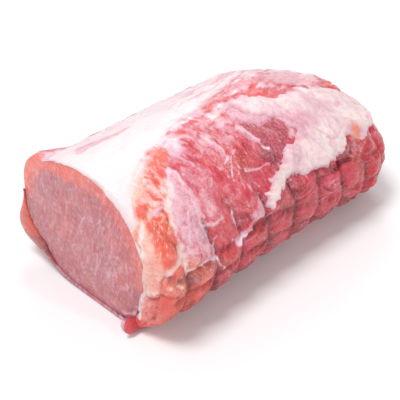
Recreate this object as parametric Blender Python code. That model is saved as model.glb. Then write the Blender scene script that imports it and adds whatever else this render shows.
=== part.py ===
"""Boneless pork loin roast, tied in a net that has since been taken off.

The roast lies along X. The cut face looks to -X, the rounded far end to +X, and the side that
carries the deepest net marks looks to -Y. Every layer of meat or fat is worked out from one
outer form: a point of a layer is a point of that form, moved inwards by the layer's depth.
"""
import math

import bmesh
import bpy
import numpy as np
from mathutils import Vector, geometry

MM = 0.001

# Outer form: a rounded log with a flat spot underneath.
LENGTH = 194 * MM
RIGHT_HALF = 52.4 * MM
WAIST_DEPTH = 1.5 * MM
WAIST_AT = 85 * MM
WAIST_REACH = 45 * MM
LEFT_HALF = 57.0 * MM
LEFT_TAPER = 12.0 * MM
CROWN = 85.5 * MM
CROWN_DROP = 17.0 * MM
CROWN_DROP_FROM = 112 * MM
CROWN_DROP_TO = 182 * MM
AXIS_SHARE = 0.41
SINK = 4.0 * MM
FLOOR_BLEND = 3.0 * MM
TOP_EXPONENT = 2.04
BOTTOM_EXPONENT = 2.2
END_EXPONENT = 2.35
END_RADIUS = 33 * MM
END_RADIUS_TOP = 16 * MM
END_RADIUS_BOTTOM = -15 * MM
BASE_MIDDLE = (94.15 * MM, 5.5 * MM, 0)
FACE_LEAN = 0.035
FACE_MIDDLE = 40 * MM

# Distance along the roast over the skin: the straight run, then round the far end.
STRAIGHT = LENGTH - END_RADIUS
END_RUN = 66 * MM
SKEW_FROM = 0.6

# Marks that the net pressed in: rings across the roast and cords along it.
RING_FIRST = 15.5 * MM
RING_PITCH = 20 * MM
RING_WIDTH = 3.0 * MM
RING_DEPTH = 2.7 * MM
CORD_ANGLES = (-44, -26, -8, 8, 150, 176, 204, 232)
UPPER_CORD_ANGLE = 31
UPPER_CORD_FROM = 94 * MM
CORD_DRIFT = -15
CORD_DRIFT_FROM = 70 * MM
CORD_DRIFT_TO = 140 * MM
CORD_WIDTH = 3.4 * MM
CORD_DEPTH = 2.0 * MM
CORDS_END = 192 * MM
MARKS_END = 218 * MM
SKIN_RADIUS = 50 * MM

# Where one layer gives way to the next, in degrees round the roast (0 right, 90 top, 180 left).
SIDE_LOW = -56
CAP_LEFT = 126
FLAP_TOP = 166
CAP_EDGE = (
    (0, 48), (3, 56), (7, 64), (15, 72), (31, 81), (50, 88), (70, 92), (100, 97), (125, 104), (150, 112),
)
END_JOINT = 148 * MM

# How deep the lean eye lies under the skin, at angles round the roast, in millimetres.
EYE_DEPTH = (
    (-56, 8.0), (-50, 11.5), (-38, 16.0), (-20, 18.0),
    (5, 17.0), (20, 14.0), (40, 12.0), (52, 9.8), (62, 7.2), (75, 6.0), (90, 4.6), (105, 3.6),
    (126, 2.0), (137, 0.3), (155, 0.3), (166, 1.9), (190, 3.0), (203, 5.5), (214, 7.5),
    (226, 4.5), (240, 2.6), (265, 2.2), (285, 2.2), (294, 3.4),
    (304, 8.0),
)
END_LIP = 2.6 * MM
END_MUSCLE_SHARE = 0.3
END_MUSCLE_RAMP = 40 * MM
END_MUSCLE_CORE = (140 * MM, 1 * MM, 36 * MM)
RIM = 1.9 * MM
CAP_LIP = 1.1 * MM
LIP_RAMP = 20
GAP = 0.35 * MM

# Rounding where the layers end at the cut face.
ROLL_RIGHT = 6.5 * MM
ROLL_ELSEWHERE = 1.2 * MM
ROLL_RUN = 9 * MM

# The loose flap on the left of the cut, and the scrap of trimming at its lower right corner.
FLAP_OUT = 9.5 * MM
FLAP_ANGLE = 196
FLAP_SPREAD = 18
FLAP_RUN = 34 * MM
SCRAP_ANGLE = 299
SCRAP_SPREAD = 8
SCRAP_OUT = 9.0 * MM
SCRAP_HEIGHT = 4.0 * MM
LIP_OUT = 0.4 * MM

# The lean lobe that stands up where the fat cap ends at the cut's upper left.
LOBE_OUT = 2.4 * MM
LOBE_ANGLE = 141
LOBE_SPREAD = 10
LOBE_RUN = 24 * MM

# The sheet of fat that wraps the far end, with an arm below and an arm above the side muscle.
# Its outline is over the skin: millimetres from the cut, degrees round.
END_FAT_OUTLINE = (
    (75, 13), (86, 16), (95, 24.5), (108, 22), (134, 20.5), (147, 33), (160, 31), (183, 40),
    (192, 54), (184, 68), (160, 75), (134, 73), (116, 73), (104, 83), (90, 86), (95, 70),
    (108, 57), (110, 46), (95, 41), (87, 32), (78, 24),
)
END_FAT_UNDER = 0.5 * MM
END_FAT_THICK = 1.6 * MM
END_FAT_EDGE = 0.7 * MM
END_FAT_STEP = 5 * MM
END_FAT_CELL = 7 * MM
END_FAT_SLOPE = 6 * MM
RADIAN_RUN = 52 * MM

# Grids: stations along the roast, columns round it. A fine skin has two cells for each of these.
STATION = RING_PITCH / 3
SIDE_COLUMNS = 12
CAP_COLUMNS = 6
LEFT_COLUMNS = 4
UNDER_COLUMNS = 12
FACE_RINGS = (0.9, 0.66, 0.34)
FACE_BULGE = 1.2 * MM


def remove_all_objects():
    for found in list(bpy.data.objects):
        bpy.data.objects.remove(found, do_unlink=True)


def fade(start, end, value):
    """0 before start, 1 after end, and a smooth rise between them."""
    share = np.clip((value - start) / (end - start), 0, 1)
    return share * share * (3 - 2 * share)


def hill(value, middle, spread):
    """A bell of height 1 at middle, down to a third at one spread from it."""
    return np.exp(-((value - middle) / spread) ** 2)


def signed_power(value, exponent):
    return np.sign(value) * np.abs(value) ** exponent


def profile(table, value):
    """A value read from a short table of (place, amount), straight between its rows."""
    places, amounts = zip(*table)
    return np.interp(value, places, amounts)


def wrapped(angle):
    """The same angle, from SIDE_LOW up to a full turn more."""
    return (angle - SIDE_LOW) % 360 + SIDE_LOW


def end_radius(angle):
    """How long the far end's rounding is: longest on top, shortest underneath."""
    rise = np.sin(np.radians(angle))
    return END_RADIUS + np.where(rise > 0, END_RADIUS_TOP, END_RADIUS_BOTTOM) * rise ** 2


def outer_form(run, angle):
    """Point of the bare outer form, run metres over the skin from the cut and angle degrees round."""
    run, angle = np.broadcast_arrays(np.asarray(run, float), np.asarray(angle, float))
    radius = end_radius(angle)
    share = np.clip(run / STRAIGHT, 0, 1)
    turn = np.clip((run - STRAIGHT) / END_RUN, 0, 1) * math.pi / 2
    along = share * STRAIGHT + fade(SKEW_FROM, 1, share) * (END_RADIUS - radius)
    along = along + radius * np.sin(turn) ** (2 / END_EXPONENT)
    shrink = np.clip(np.cos(turn), 0, 1) ** (2 / END_EXPONENT)
    across, rise = np.cos(np.radians(angle)), np.sin(np.radians(angle))
    power = 2 / np.where(rise > 0, TOP_EXPONENT, BOTTOM_EXPONENT)
    crown = CROWN - CROWN_DROP * fade(CROWN_DROP_FROM, CROWN_DROP_TO, along)
    right = RIGHT_HALF - WAIST_DEPTH * hill(along, WAIST_AT, WAIST_REACH)
    left = LEFT_HALF - LEFT_TAPER * (np.clip(along, 0, None) / LENGTH) ** 3
    middle = AXIS_SHARE * crown
    side = -np.where(across > 0, right, left) * shrink * signed_power(across, power)
    height = np.where(rise > 0, crown - middle, middle + SINK) * shrink * signed_power(rise, power)
    height = middle + height
    blend = (height + FLOOR_BLEND) ** 2 / (4 * FLOOR_BLEND)
    height = np.where(height > FLOOR_BLEND, height, np.where(height < -FLOOR_BLEND, 0, blend))
    along = along + FACE_LEAN * (FACE_MIDDLE - height) * np.exp(-run / (30 * MM))
    return np.stack([along, side, height], -1)


def outward(run, angle):
    """Unit normal of the outer form; across the roast at the cut, along it at the far tip."""
    step_run, step_angle = 0.5 * MM, 0.5
    last = STRAIGHT + END_RUN - 2 * step_run
    run = np.minimum(run, last)
    along = outer_form(run + step_run, angle) - outer_form(run - step_run * (run > step_run), angle)
    round_it = outer_form(run, angle + step_angle) - outer_form(run, angle - step_angle)
    normal = np.cross(along, round_it)
    normal[..., 0] *= fade(0, 25 * MM, run)
    normal /= np.linalg.norm(normal, axis=-1, keepdims=True)
    tip = fade(last - 6 * MM, last, run)[..., None]
    normal = normal * (1 - tip) + np.array([1.0, 0, 0]) * tip
    return normal / np.linalg.norm(normal, axis=-1, keepdims=True)


def layer_point(run, angle, depth):
    """The outer form's point, moved depth metres inwards."""
    run, angle, depth = np.broadcast_arrays(run, angle, depth)
    return outer_form(run, angle) - depth[..., None] * outward(run, angle)


def net_marks(run, angle):
    """Depth of the marks that the net left: rings across and cords along, none on the flat spot."""
    place = wrapped(angle)
    number = np.round((run - RING_FIRST) / RING_PITCH)
    from_ring = run - RING_FIRST - number * RING_PITCH
    on_right = fade(48, 20, place)
    on_left = fade(140, 160, place) * fade(268, 240, place)
    ring = RING_DEPTH * (0.16 + 0.84 * on_right + 0.5 * on_left) * hill(from_ring, 0, RING_WIDTH)
    ring = ring * (number >= 0)
    cord = 0 * ring
    drift = CORD_DRIFT * fade(CORD_DRIFT_FROM, CORD_DRIFT_TO, run)
    for middle in CORD_ANGLES + (UPPER_CORD_ANGLE,):
        apart = np.radians(place - middle - drift) * SKIN_RADIUS
        depth = CORD_DEPTH * hill(apart, 0, CORD_WIDTH)
        if middle == UPPER_CORD_ANGLE:
            depth = depth * fade(UPPER_CORD_FROM - RING_WIDTH, UPPER_CORD_FROM + RING_WIDTH, run)
        cord = np.maximum(cord, depth)
    cord = cord * (on_right + 0.6 * on_left) * fade(CORDS_END, CORDS_END - 30 * MM, run)
    height = outer_form(run, angle)[..., 2]
    ends = fade(4 * MM, 12 * MM, run) * fade(MARKS_END, MARKS_END - 12 * MM, run)
    return np.maximum(ring, cord) * fade(0.5 * MM, 6 * MM, height) * ends


def roll_in(run, angle):
    """Depth by which a layer's end curls in at the cut face."""
    place = wrapped(angle)
    right = fade(78, 34, place) * fade(-62, -40, place)
    most = ROLL_ELSEWHERE + (ROLL_RIGHT - ROLL_ELSEWHERE) * right
    share = np.clip(1 - run / ROLL_RUN, 0, 1)
    return most * (1 - np.sqrt(1 - share ** 2)) * fade(0, 3 * MM, outer_form(run, angle)[..., 2])


def eye_depth(run, angle):
    """Depth of the lean eye under the skin; it leaves room for the end muscle's front edge."""
    lip = END_LIP * fade(END_JOINT - 10 * MM, END_JOINT - 2 * MM, run)
    return np.maximum(profile(EYE_DEPTH, wrapped(angle)) * MM, lip)


def eye_point(run, angle, depth, clear=0.0):
    """Point at a depth, drawn in towards the core of the far end where the end muscle covers it."""
    point = layer_point(run, angle, (depth - clear) * fade(END_JOINT + END_MUSCLE_RAMP, END_JOINT, run))
    share = END_MUSCLE_SHARE * fade(END_JOINT, END_JOINT + END_MUSCLE_RAMP, run)
    share = share * (1 - 4 * clear / END_RADIUS)
    return point + (np.array(END_MUSCLE_CORE) - point) * share[..., None]


def eye_skin(run, angle):
    """The eye's own surface: it rolls in at the cut where nothing covers it."""
    place = wrapped(angle)
    bare = fade(CAP_LEFT + 2, CAP_LEFT + 10, place) * fade(FLAP_TOP - 2, FLAP_TOP - 10, place)
    bare = bare * (run < END_JOINT)
    lobe = LOBE_OUT * hill(place, LOBE_ANGLE, LOBE_SPREAD) * fade(LOBE_RUN, 3 * MM, run)
    return eye_depth(run, angle) + bare * (roll_in(run, angle) + 0.6 * net_marks(run, angle) - lobe)


def side_under(run, angle):
    """Underside of the side muscle: a full muscle that thins to a lip at its upper edge."""
    full = eye_depth(run, angle) - RIM * fade(SIDE_LOW, SIDE_LOW + 12, angle) - 2 * GAP
    edge = cap_edge(run)
    thin = fade(edge, edge - LIP_RAMP, angle)
    lip = roll_in(run, angle) + CAP_LIP
    return lip + (np.maximum(full, lip) - lip) * thin


def cap_edge(run):
    """Angle at which the side muscle's upper edge lies on the fat cap."""
    return profile(CAP_EDGE, run / MM)


def cap_skin(run, angle, share):
    """Top of the fat cap: bare on the crown, and under the side muscle lower down."""
    beside = roll_in(run, angle) + 0.5 * net_marks(run, angle)
    sunk = side_under(run, angle) + GAP
    return beside + (sunk - beside) * fade(1.2, 1.0, share)


def under_skin(run, angle):
    """Outside of the under layer, with the loose flap swelling out beside the cut."""
    swell = hill(wrapped(angle), FLAP_ANGLE, FLAP_SPREAD) * fade(FLAP_RUN, 4 * MM, run)
    return net_marks(run, angle) + roll_in(run, angle) - FLAP_OUT * swell


def half_steps(values):
    """The values with the middle of each pair put in between."""
    values = np.asarray(values, float)
    fine = np.empty(2 * len(values) - 1)
    fine[::2] = values
    fine[1::2] = (values[1:] + values[:-1]) / 2
    return fine


def stations(first, last):
    """Places along the roast, one on each ring, two between rings and one close to the start."""
    count = int((last - RING_FIRST) / STATION) + 3
    inner = RING_FIRST + STATION * (np.arange(count) - 2)
    close = first + STATION / 4
    inner = inner[(inner > close) & (inner < last - STATION / 4)]
    return np.concatenate([[first, close], inner, [last]])


def shares(start, count):
    """Column numbers of one stretch of the way round, from whole number start to the next."""
    return start + np.arange(count + 1) / count


def column_angle(run, share):
    """Angle of a column: 0-1 side muscle, 1-2 fat cap, 2-3 bare left side, 3-4 under layer."""
    run, share = np.broadcast_arrays(run, share)
    low = np.full(run.shape, float(SIDE_LOW))
    stops = [low, cap_edge(run), low * 0 + CAP_LEFT, low * 0 + FLAP_TOP, low + 360]
    angle = low.copy()
    for number in range(4):
        part = np.clip(share - number, 0, 1)
        angle += part * (stops[number + 1] - stops[number])
    return angle


def lattice(runs, columns):
    """Station and angle of every grid point."""
    run, share = np.meshgrid(runs, columns, indexing="ij")
    return run, column_angle(run, share), share


def grid_triangles(rows, columns, first):
    """Two triangles for each cell of a grid of points numbered row by row from first."""
    number = first + np.arange(rows * columns).reshape(rows, columns)
    a, b, c, d = number[:-1, :-1], number[1:, :-1], number[1:, 1:], number[:-1, 1:]
    return np.concatenate([np.stack([a, b, c], -1).reshape(-1, 3), np.stack([a, c, d], -1).reshape(-1, 3)])


def rim_triangles(outer_edge, inner_edge):
    """Triangles between an edge of the skin and one below it with as many or half as many points."""
    faces = []
    fine = (len(outer_edge) - 1) // (len(inner_edge) - 1)
    for number, (low, low_next) in enumerate(zip(inner_edge[:-1], inner_edge[1:])):
        high = outer_edge[fine * number:fine * number + fine + 1]
        faces.append((low, high[0], high[1]))
        if fine == 2:
            faces.append((low, high[1], low_next))
            faces.append((low_next, high[1], high[2]))
        else:
            faces.append((low, high[1], low_next))
    return np.array(faces)


def edge_numbers(rows, columns, first, ring):
    """Point numbers along each open edge of a grid; a ring has only its first row."""
    number = first + np.arange(rows * columns).reshape(rows, columns)
    if ring:
        return [number[0]]
    return [number[0], number[-1], number[:, 0], number[:, -1]]


def closed_mesh(points, faces):
    """A mesh from points and triangles, with doubles merged and faces turned outwards."""
    mesh = bpy.data.meshes.new("layer")
    mesh.from_pydata([tuple(point) for point in points.tolist()], [], faces.tolist())
    work = bmesh.new()
    work.from_mesh(mesh)
    bmesh.ops.remove_doubles(work, verts=work.verts, dist=0.002 * MM)
    bmesh.ops.recalc_face_normals(work, faces=work.faces)
    if work.calc_volume(signed=True) < 0:
        bmesh.ops.reverse_faces(work, faces=work.faces)
    work.to_mesh(mesh)
    work.free()
    return mesh


def shell_mesh(skin, under, ring=False):
    """Closed layer between a skin grid and the grid below it."""
    rows, columns = skin.shape[:2]
    low_rows, low_columns = under.shape[:2]
    first = rows * columns
    faces = [grid_triangles(rows, columns, 0), grid_triangles(low_rows, low_columns, first)[:, ::-1]]
    high_edges = edge_numbers(rows, columns, 0, ring)
    low_edges = edge_numbers(low_rows, low_columns, first, ring)
    for high, low in zip(high_edges, low_edges):
        faces.append(rim_triangles(high, low))
    points = np.concatenate([skin.reshape(-1, 3), under.reshape(-1, 3)])
    return closed_mesh(points, np.concatenate(faces))


def meat(name, colour, roughness):
    made = bpy.data.materials.new(name)
    made.use_nodes = True
    shader = made.node_tree.nodes["Principled BSDF"]
    shader.inputs["Base Color"].default_value = (*colour, 1)
    shader.inputs["Roughness"].default_value = roughness
    shader.inputs["Metallic"].default_value = 0
    return made


def add_piece(name, mesh, finish):
    """Put a mesh in the scene, with the middle of the roast's length and width over the origin."""
    mesh.name = name
    piece = bpy.data.objects.new(name, mesh)
    bpy.context.scene.collection.objects.link(piece)
    for vertex in mesh.vertices:
        vertex.co -= Vector(BASE_MIDDLE)
    mesh.materials.append(finish)
    mesh.shade_smooth()
    mesh.set_sharp_from_angle(angle=math.radians(50))
    return piece


SIDE = shares(0, SIDE_COLUMNS)
CAP = shares(1, CAP_COLUMNS)
LEFT = shares(2, LEFT_COLUMNS)
UNDER = shares(3, UNDER_COLUMNS)


def make_eye():
    """The lean eye of the loin, from the cut face to a rounded tip inside the far end."""
    around = np.concatenate([SIDE, CAP[1:], LEFT[1:], UNDER[1:]])
    runs = stations(0, STRAIGHT + END_RUN)
    run, angle, _ = lattice(runs, around)
    skin = eye_point(run, angle, eye_skin(run, angle))
    face_rim = skin[0]
    middle = face_rim[:-1].mean(axis=0)
    face = []
    for share in FACE_RINGS + (0.0,):
        ring = middle + (face_rim - middle) * share
        ring[:, 0] -= FACE_BULGE * (1 - share ** 2)
        face.append(ring)
    points = np.concatenate([np.array(face[::-1]), skin])
    rows, columns = points.shape[:2]
    return closed_mesh(points.reshape(-1, 3), grid_triangles(rows, columns, 0))


def make_side():
    """The muscle down the right side, with the net's marks in its skin."""
    runs = stations(0, END_JOINT - GAP / 2)
    run, angle, share = lattice(half_steps(runs), half_steps(SIDE))
    skin = layer_point(run, angle, roll_in(run, angle) + net_marks(run, angle) * fade(1, 0.93, share))
    run, angle, _ = lattice(runs, SIDE)
    return shell_mesh(skin, layer_point(run, angle, side_under(run, angle)))


def make_cap():
    """The fat cap: thick over the crown, and a thin white rim down between eye and side muscle."""
    columns = np.concatenate([SIDE[1:], CAP[1:]])
    run, angle, share = lattice(stations(0, END_JOINT - GAP / 2), columns)
    skin = layer_point(run, angle, cap_skin(run, angle, share))
    return shell_mesh(skin, eye_point(run, angle, eye_depth(run, angle), GAP))


def make_under():
    """The layer that the roast rests on, with the flap on its left and the scrap at the corner."""
    runs = stations(0, END_JOINT - GAP / 2)
    run, angle, _ = lattice(runs, UNDER)
    angle[:, -1] -= 0.6
    skin = layer_point(run, angle, under_skin(run, angle))
    under = eye_point(run, angle, eye_depth(run, angle), GAP)
    scrap = hill(angle[0], SCRAP_ANGLE, SCRAP_SPREAD)
    ahead = LIP_OUT + SCRAP_OUT * scrap
    low, high = skin[0].copy(), under[0].copy()
    low[:, 0] -= ahead
    high[:, 0] -= ahead
    high[:, 2] += SCRAP_HEIGHT * scrap
    return shell_mesh(np.concatenate([[low], skin]), np.concatenate([[high], under]))


def make_end():
    """The muscle that closes the far end, from its joint with the side muscle to the tip."""
    runs = stations(END_JOINT + GAP / 2, STRAIGHT + END_RUN)
    around = np.concatenate([SIDE, CAP[1:], LEFT[1:], UNDER[1:]])
    run, angle, _ = lattice(half_steps(runs), half_steps(around))
    skin = layer_point(run, angle, net_marks(run, angle) * fade(0, 3 * MM, run - END_JOINT))
    run, angle, _ = lattice(runs, around)
    return shell_mesh(skin, eye_point(run, angle, eye_depth(run, angle), GAP), ring=True)


def smooth_outline(corners, step):
    """Points about a step apart on the closed curve that passes smoothly through the corners."""
    points = []
    for number in range(len(corners)):
        before, start, end, after = (corners[(number + shift) % len(corners)] for shift in (-1, 0, 1, 2))
        count = max(1, int(round(np.linalg.norm(end - start) / step)))
        for share in np.arange(count) / count:
            bend = 2 * before - 5 * start + 4 * end - after
            twist = -before + 3 * start - 3 * end + after
            points.append(start + 0.5 * share * (end - before + share * (bend + share * twist)))
    return np.array(points)


def distance_to_outline(points, outline):
    """Distance of each point from the nearest side of the outline."""
    start, side = outline, np.roll(outline, -1, axis=0) - outline
    apart = points[:, None] - start[None]
    share = np.clip((apart * side).sum(-1) / (side ** 2).sum(-1), 0, 1)
    return np.linalg.norm(apart - share[..., None] * side, axis=-1).min(axis=1)


def filled_outline(outline, cell):
    """Flat triangles that fill the outline, with points on a regular grid inside it."""
    low, high = outline.min(axis=0), outline.max(axis=0)
    grid = np.stack(np.meshgrid(np.arange(low[0], high[0], cell), np.arange(low[1], high[1], cell)), -1)
    grid = grid.reshape(-1, 2)
    grid = grid[distance_to_outline(grid, outline) > 0.6 * cell]
    count = len(outline)
    sides = [(number, (number + 1) % count) for number in range(count)]
    flat = [Vector(point) for point in np.concatenate([outline, grid])]
    points, _, faces, *_ = geometry.delaunay_2d_cdt(flat, sides, [], 1, 1e-7)
    return np.array([tuple(point) for point in points]), np.array(faces)


def make_end_fat():
    """The sheet of fat over the far end: rounded at its edge and lying on the muscle under it."""
    corners = np.array(END_FAT_OUTLINE) * (MM, math.radians(1) * RADIAN_RUN)
    outline = smooth_outline(corners, END_FAT_STEP)
    flat, faces = filled_outline(outline, END_FAT_CELL)
    run, angle = flat[:, 0], np.degrees(flat[:, 1] / RADIAN_RUN)
    inside = np.clip(distance_to_outline(flat, outline) / END_FAT_SLOPE, 0, 1)
    thick = END_FAT_EDGE + (END_FAT_THICK - END_FAT_EDGE) * np.sqrt(1 - (1 - inside) ** 2)
    skin = layer_point(run, angle, -END_FAT_UNDER - thick)
    under = layer_point(run, angle, np.full(len(flat), -END_FAT_UNDER))
    count = len(flat)
    edges = np.concatenate([faces[:, [0, 1]], faces[:, [1, 2]], faces[:, [2, 0]]])
    known = {tuple(edge) for edge in edges.tolist()}
    open_edges = np.array([edge for edge in edges.tolist() if (edge[1], edge[0]) not in known])
    start, end = open_edges[:, 0], open_edges[:, 1]
    rim = [np.stack([end, start, start + count], -1), np.stack([end, start + count, end + count], -1)]
    every = np.concatenate([faces, faces[:, ::-1] + count, *rim])
    return closed_mesh(np.concatenate([skin, under]), every)


FINISHES = {
    "loin_eye": ((0.56, 0.24, 0.24), 0.38),
    "fat_cap": ((0.93, 0.86, 0.82), 0.42),
    "side_muscle": ((0.62, 0.15, 0.15), 0.34),
    "under_layer": ((0.58, 0.20, 0.17), 0.38),
    "end_muscle": ((0.55, 0.11, 0.12), 0.34),
    "end_fat": ((0.90, 0.78, 0.73), 0.42),
}


def make_roast():
    remove_all_objects()
    makers = {
        "loin_eye": make_eye,
        "fat_cap": make_cap,
        "side_muscle": make_side,
        "under_layer": make_under,
        "end_muscle": make_end,
        "end_fat": make_end_fat,
    }
    for name, make in makers.items():
        colour, roughness = FINISHES[name]
        add_piece(name, make(), meat(name, colour, roughness))


make_roast()
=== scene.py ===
# %% [markdown]
# # A boneless pork loin roast
#
# A butcher trimmed this length of loin and tied it in an elastic net. The net has been pulled off again
# and left its pattern in the meat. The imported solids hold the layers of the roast: the lean eye, the fat
# cap over it, the muscle down the right side, the layer it rests on, and the muscle and fat that close
# the far end. Here each layer gets a fine surface, worked out from the same formulas as its solid.

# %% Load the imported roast
import math

import bpy
import numpy as np
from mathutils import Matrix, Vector, geometry


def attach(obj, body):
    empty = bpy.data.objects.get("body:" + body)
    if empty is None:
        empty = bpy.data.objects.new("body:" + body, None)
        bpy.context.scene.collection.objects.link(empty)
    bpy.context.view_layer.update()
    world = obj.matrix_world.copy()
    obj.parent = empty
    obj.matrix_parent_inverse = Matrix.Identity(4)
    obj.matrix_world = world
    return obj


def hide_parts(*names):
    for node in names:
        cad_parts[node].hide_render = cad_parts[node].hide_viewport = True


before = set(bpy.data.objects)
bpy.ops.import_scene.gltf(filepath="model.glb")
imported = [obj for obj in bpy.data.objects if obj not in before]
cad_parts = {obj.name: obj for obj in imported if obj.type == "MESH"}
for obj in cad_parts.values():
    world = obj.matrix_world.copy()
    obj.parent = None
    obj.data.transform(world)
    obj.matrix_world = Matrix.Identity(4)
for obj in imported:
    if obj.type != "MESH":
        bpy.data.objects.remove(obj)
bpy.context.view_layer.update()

MM = 0.001

# %% [markdown]
# ## Small tools for numbers
#
# Every surface below is a formula on a grid of two numbers. These helpers are its vocabulary: a smooth
# step, a bell, a value read from a short table, and a cloud, which is random but the same on each run.

# %% Steps, bells and clouds
CLOUD_TURN = np.linalg.qr(np.array([[3.0, 1, 2], [-1, 4, 1], [2, -2, 5]]))[0]


def fade(start, end, value):
    """0 before start, 1 after end, and between them three squares less two cubes of the share."""
    share = np.clip((value - start) / (end - start), 0, 1)
    return share * share * (3 - 2 * share)


def hill(value, middle, spread):
    """A bell of height 1 at middle: e to the minus square of the distance in spreads."""
    return np.exp(-((value - middle) / spread) ** 2)


def profile(table, value):
    """A value read from rows of (place, amount), straight between the rows."""
    places, amounts = zip(*table)
    return np.interp(value, places, amounts)


def corner_value(cell, seed):
    """A number from 0 to 1 for each whole-numbered corner: its three numbers multiplied and mixed."""
    mixed = (cell[..., 0] * 73856093) ^ (cell[..., 1] * 19349663) ^ (cell[..., 2] * 83492791)
    mixed = (mixed ^ (seed * 9176131)) & 0x7FFFFFFF
    mixed = ((mixed ^ (mixed >> 13)) * 1274126177) & 0x7FFFFFFF
    mixed = ((mixed ^ (mixed >> 15)) * 668265263) & 0x7FFFFFFF
    return ((mixed >> 7) & 0xFFFF) / 65535


def cloud(place, size, seed, layers=1):
    """A smooth random field around 0: corner values blended in each cell, plus finer, weaker layers."""
    place = place @ CLOUD_TURN
    total, weight = 0.0, 1.0
    for layer in range(layers):
        spot = place / (size / 2 ** layer)
        cell = np.floor(spot).astype(np.int64)
        part = spot - cell
        part = part * part * (3 - 2 * part)
        for corner in np.ndindex(2, 2, 2):
            side = np.array(corner)
            value = 2 * corner_value(cell + side, seed + 31 * layer) - 1
            total = total + weight * value * np.where(side, part, 1 - part).prod(-1)
        weight /= 2
    return total


def flat_place(first, second):
    """Two numbers of a flat map as a place in space, for clouds."""
    return np.stack([first, second, 0 * first], -1)


def drawn_cloud(along, across, length, width, seed, layers=2):
    """A cloud stretched over a flat map: its lumps are length by width."""
    return cloud(flat_place(along / length, across / width) @ CLOUD_TURN.T, 1.0, seed, layers)


sample = cloud(np.random.default_rng(4).uniform(-1, 1, (4000, 3)), 0.1, 7, 3)
print("a cloud of three layers runs from", sample.min().round(2), "to", sample.max().round(2))

# %% [markdown]
# ## The outer form
#
# Meat has no exact shape, but this roast is close to a rounded log with a flat spot underneath. A point
# of its skin has two numbers: run, the distance over the skin from the cut, and angle, in degrees round
# the roast: 0 on the right, 90 on top, 180 on the left. The cross section is a superellipse, and the far
# end closes along another one. The values are those of the solids, so both describe one roast.

# %% Sizes of the outer form
LENGTH = 194 * MM
RIGHT_HALF, LEFT_HALF, LEFT_TAPER = 52.4 * MM, 57.0 * MM, 12.0 * MM
WAIST_DEPTH, WAIST_AT, WAIST_REACH = 1.5 * MM, 85 * MM, 45 * MM
CROWN, CROWN_DROP, CROWN_DROP_FROM, CROWN_DROP_TO = 85.5 * MM, 17.0 * MM, 112 * MM, 182 * MM
AXIS_SHARE, SINK, FLOOR_BLEND = 0.41, 4.0 * MM, 3.0 * MM
TOP_EXPONENT, BOTTOM_EXPONENT, END_EXPONENT = 2.04, 2.2, 2.35
END_RADIUS, END_RADIUS_TOP, END_RADIUS_BOTTOM = 33 * MM, 16 * MM, -15 * MM
BASE_MIDDLE = np.array([94.15, 5.5, 0]) * MM
FACE_LEAN, FACE_LEAN_REACH, FACE_MIDDLE = 0.035, 30 * MM, 40 * MM
STRAIGHT = LENGTH - END_RADIUS
END_RUN = 66 * MM
TIP = STRAIGHT + END_RUN
SKEW_FROM = 0.6
LEVEL_RUN, TIP_BLEND = 25 * MM, 6 * MM
SIDE_LOW = -56
print("the skin is", round(TIP / MM), "mm long from the cut to the tip")

# %% The outer form
def wrapped(angle):
    """The same angle, from SIDE_LOW up to a full turn more."""
    return (angle - SIDE_LOW) % 360 + SIDE_LOW


def outer_form(run, angle):
    """Point of the outer form: a superellipse across the roast, shrinking along a second one at the end."""
    run, angle = np.broadcast_arrays(np.asarray(run, float), np.asarray(angle, float))
    across, rise = np.cos(np.radians(angle)), np.sin(np.radians(angle))
    radius = END_RADIUS + np.where(rise > 0, END_RADIUS_TOP, END_RADIUS_BOTTOM) * rise ** 2
    share = np.clip(run / STRAIGHT, 0, 1)
    turn = np.clip((run - STRAIGHT) / END_RUN, 0, 1) * math.pi / 2
    along = share * STRAIGHT + fade(SKEW_FROM, 1, share) * (END_RADIUS - radius)
    along = along + radius * np.sin(turn) ** (2 / END_EXPONENT)
    shrink = np.clip(np.cos(turn), 0, 1) ** (2 / END_EXPONENT)
    power = 2 / np.where(rise > 0, TOP_EXPONENT, BOTTOM_EXPONENT)
    crown = CROWN - CROWN_DROP * fade(CROWN_DROP_FROM, CROWN_DROP_TO, along)
    right = RIGHT_HALF - WAIST_DEPTH * hill(along, WAIST_AT, WAIST_REACH)
    left = LEFT_HALF - LEFT_TAPER * (np.clip(along, 0, None) / LENGTH) ** 3
    middle = AXIS_SHARE * crown
    side = -np.where(across > 0, right, left) * shrink * np.sign(across) * np.abs(across) ** power
    reach = np.where(rise > 0, crown - middle, middle + SINK)
    height = middle + reach * shrink * np.sign(rise) * np.abs(rise) ** power
    blend = (height + FLOOR_BLEND) ** 2 / (4 * FLOOR_BLEND)
    height = np.where(height > FLOOR_BLEND, height, np.where(height < -FLOOR_BLEND, 0, blend))
    along = along + FACE_LEAN * (FACE_MIDDLE - height) * np.exp(-run / FACE_LEAN_REACH)
    return np.stack([along, side, height], -1)

# %% Normals and layers
def outward(run, angle):
    """Unit normal of the outer form, from points half a millimetre and half a degree apart."""
    step_run, step_angle = 0.5 * MM, 0.5
    last = TIP - 2 * step_run
    run = np.minimum(run, last)
    along = outer_form(run + step_run, angle) - outer_form(run - step_run * (run > step_run), angle)
    round_it = outer_form(run, angle + step_angle) - outer_form(run, angle - step_angle)
    normal = np.cross(along, round_it)
    normal[..., 0] *= fade(0, LEVEL_RUN, run)
    normal /= np.linalg.norm(normal, axis=-1, keepdims=True)
    tip = fade(last - TIP_BLEND, last, run)[..., None]
    normal = normal * (1 - tip) + np.array([1.0, 0, 0]) * tip
    return normal / np.linalg.norm(normal, axis=-1, keepdims=True)


def layer_point(run, angle, depth):
    """The outer form's point, moved depth metres inwards along its normal."""
    run, angle, depth = np.broadcast_arrays(run, angle, depth)
    return outer_form(run, angle) - depth[..., None] * outward(run, angle)


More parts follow.
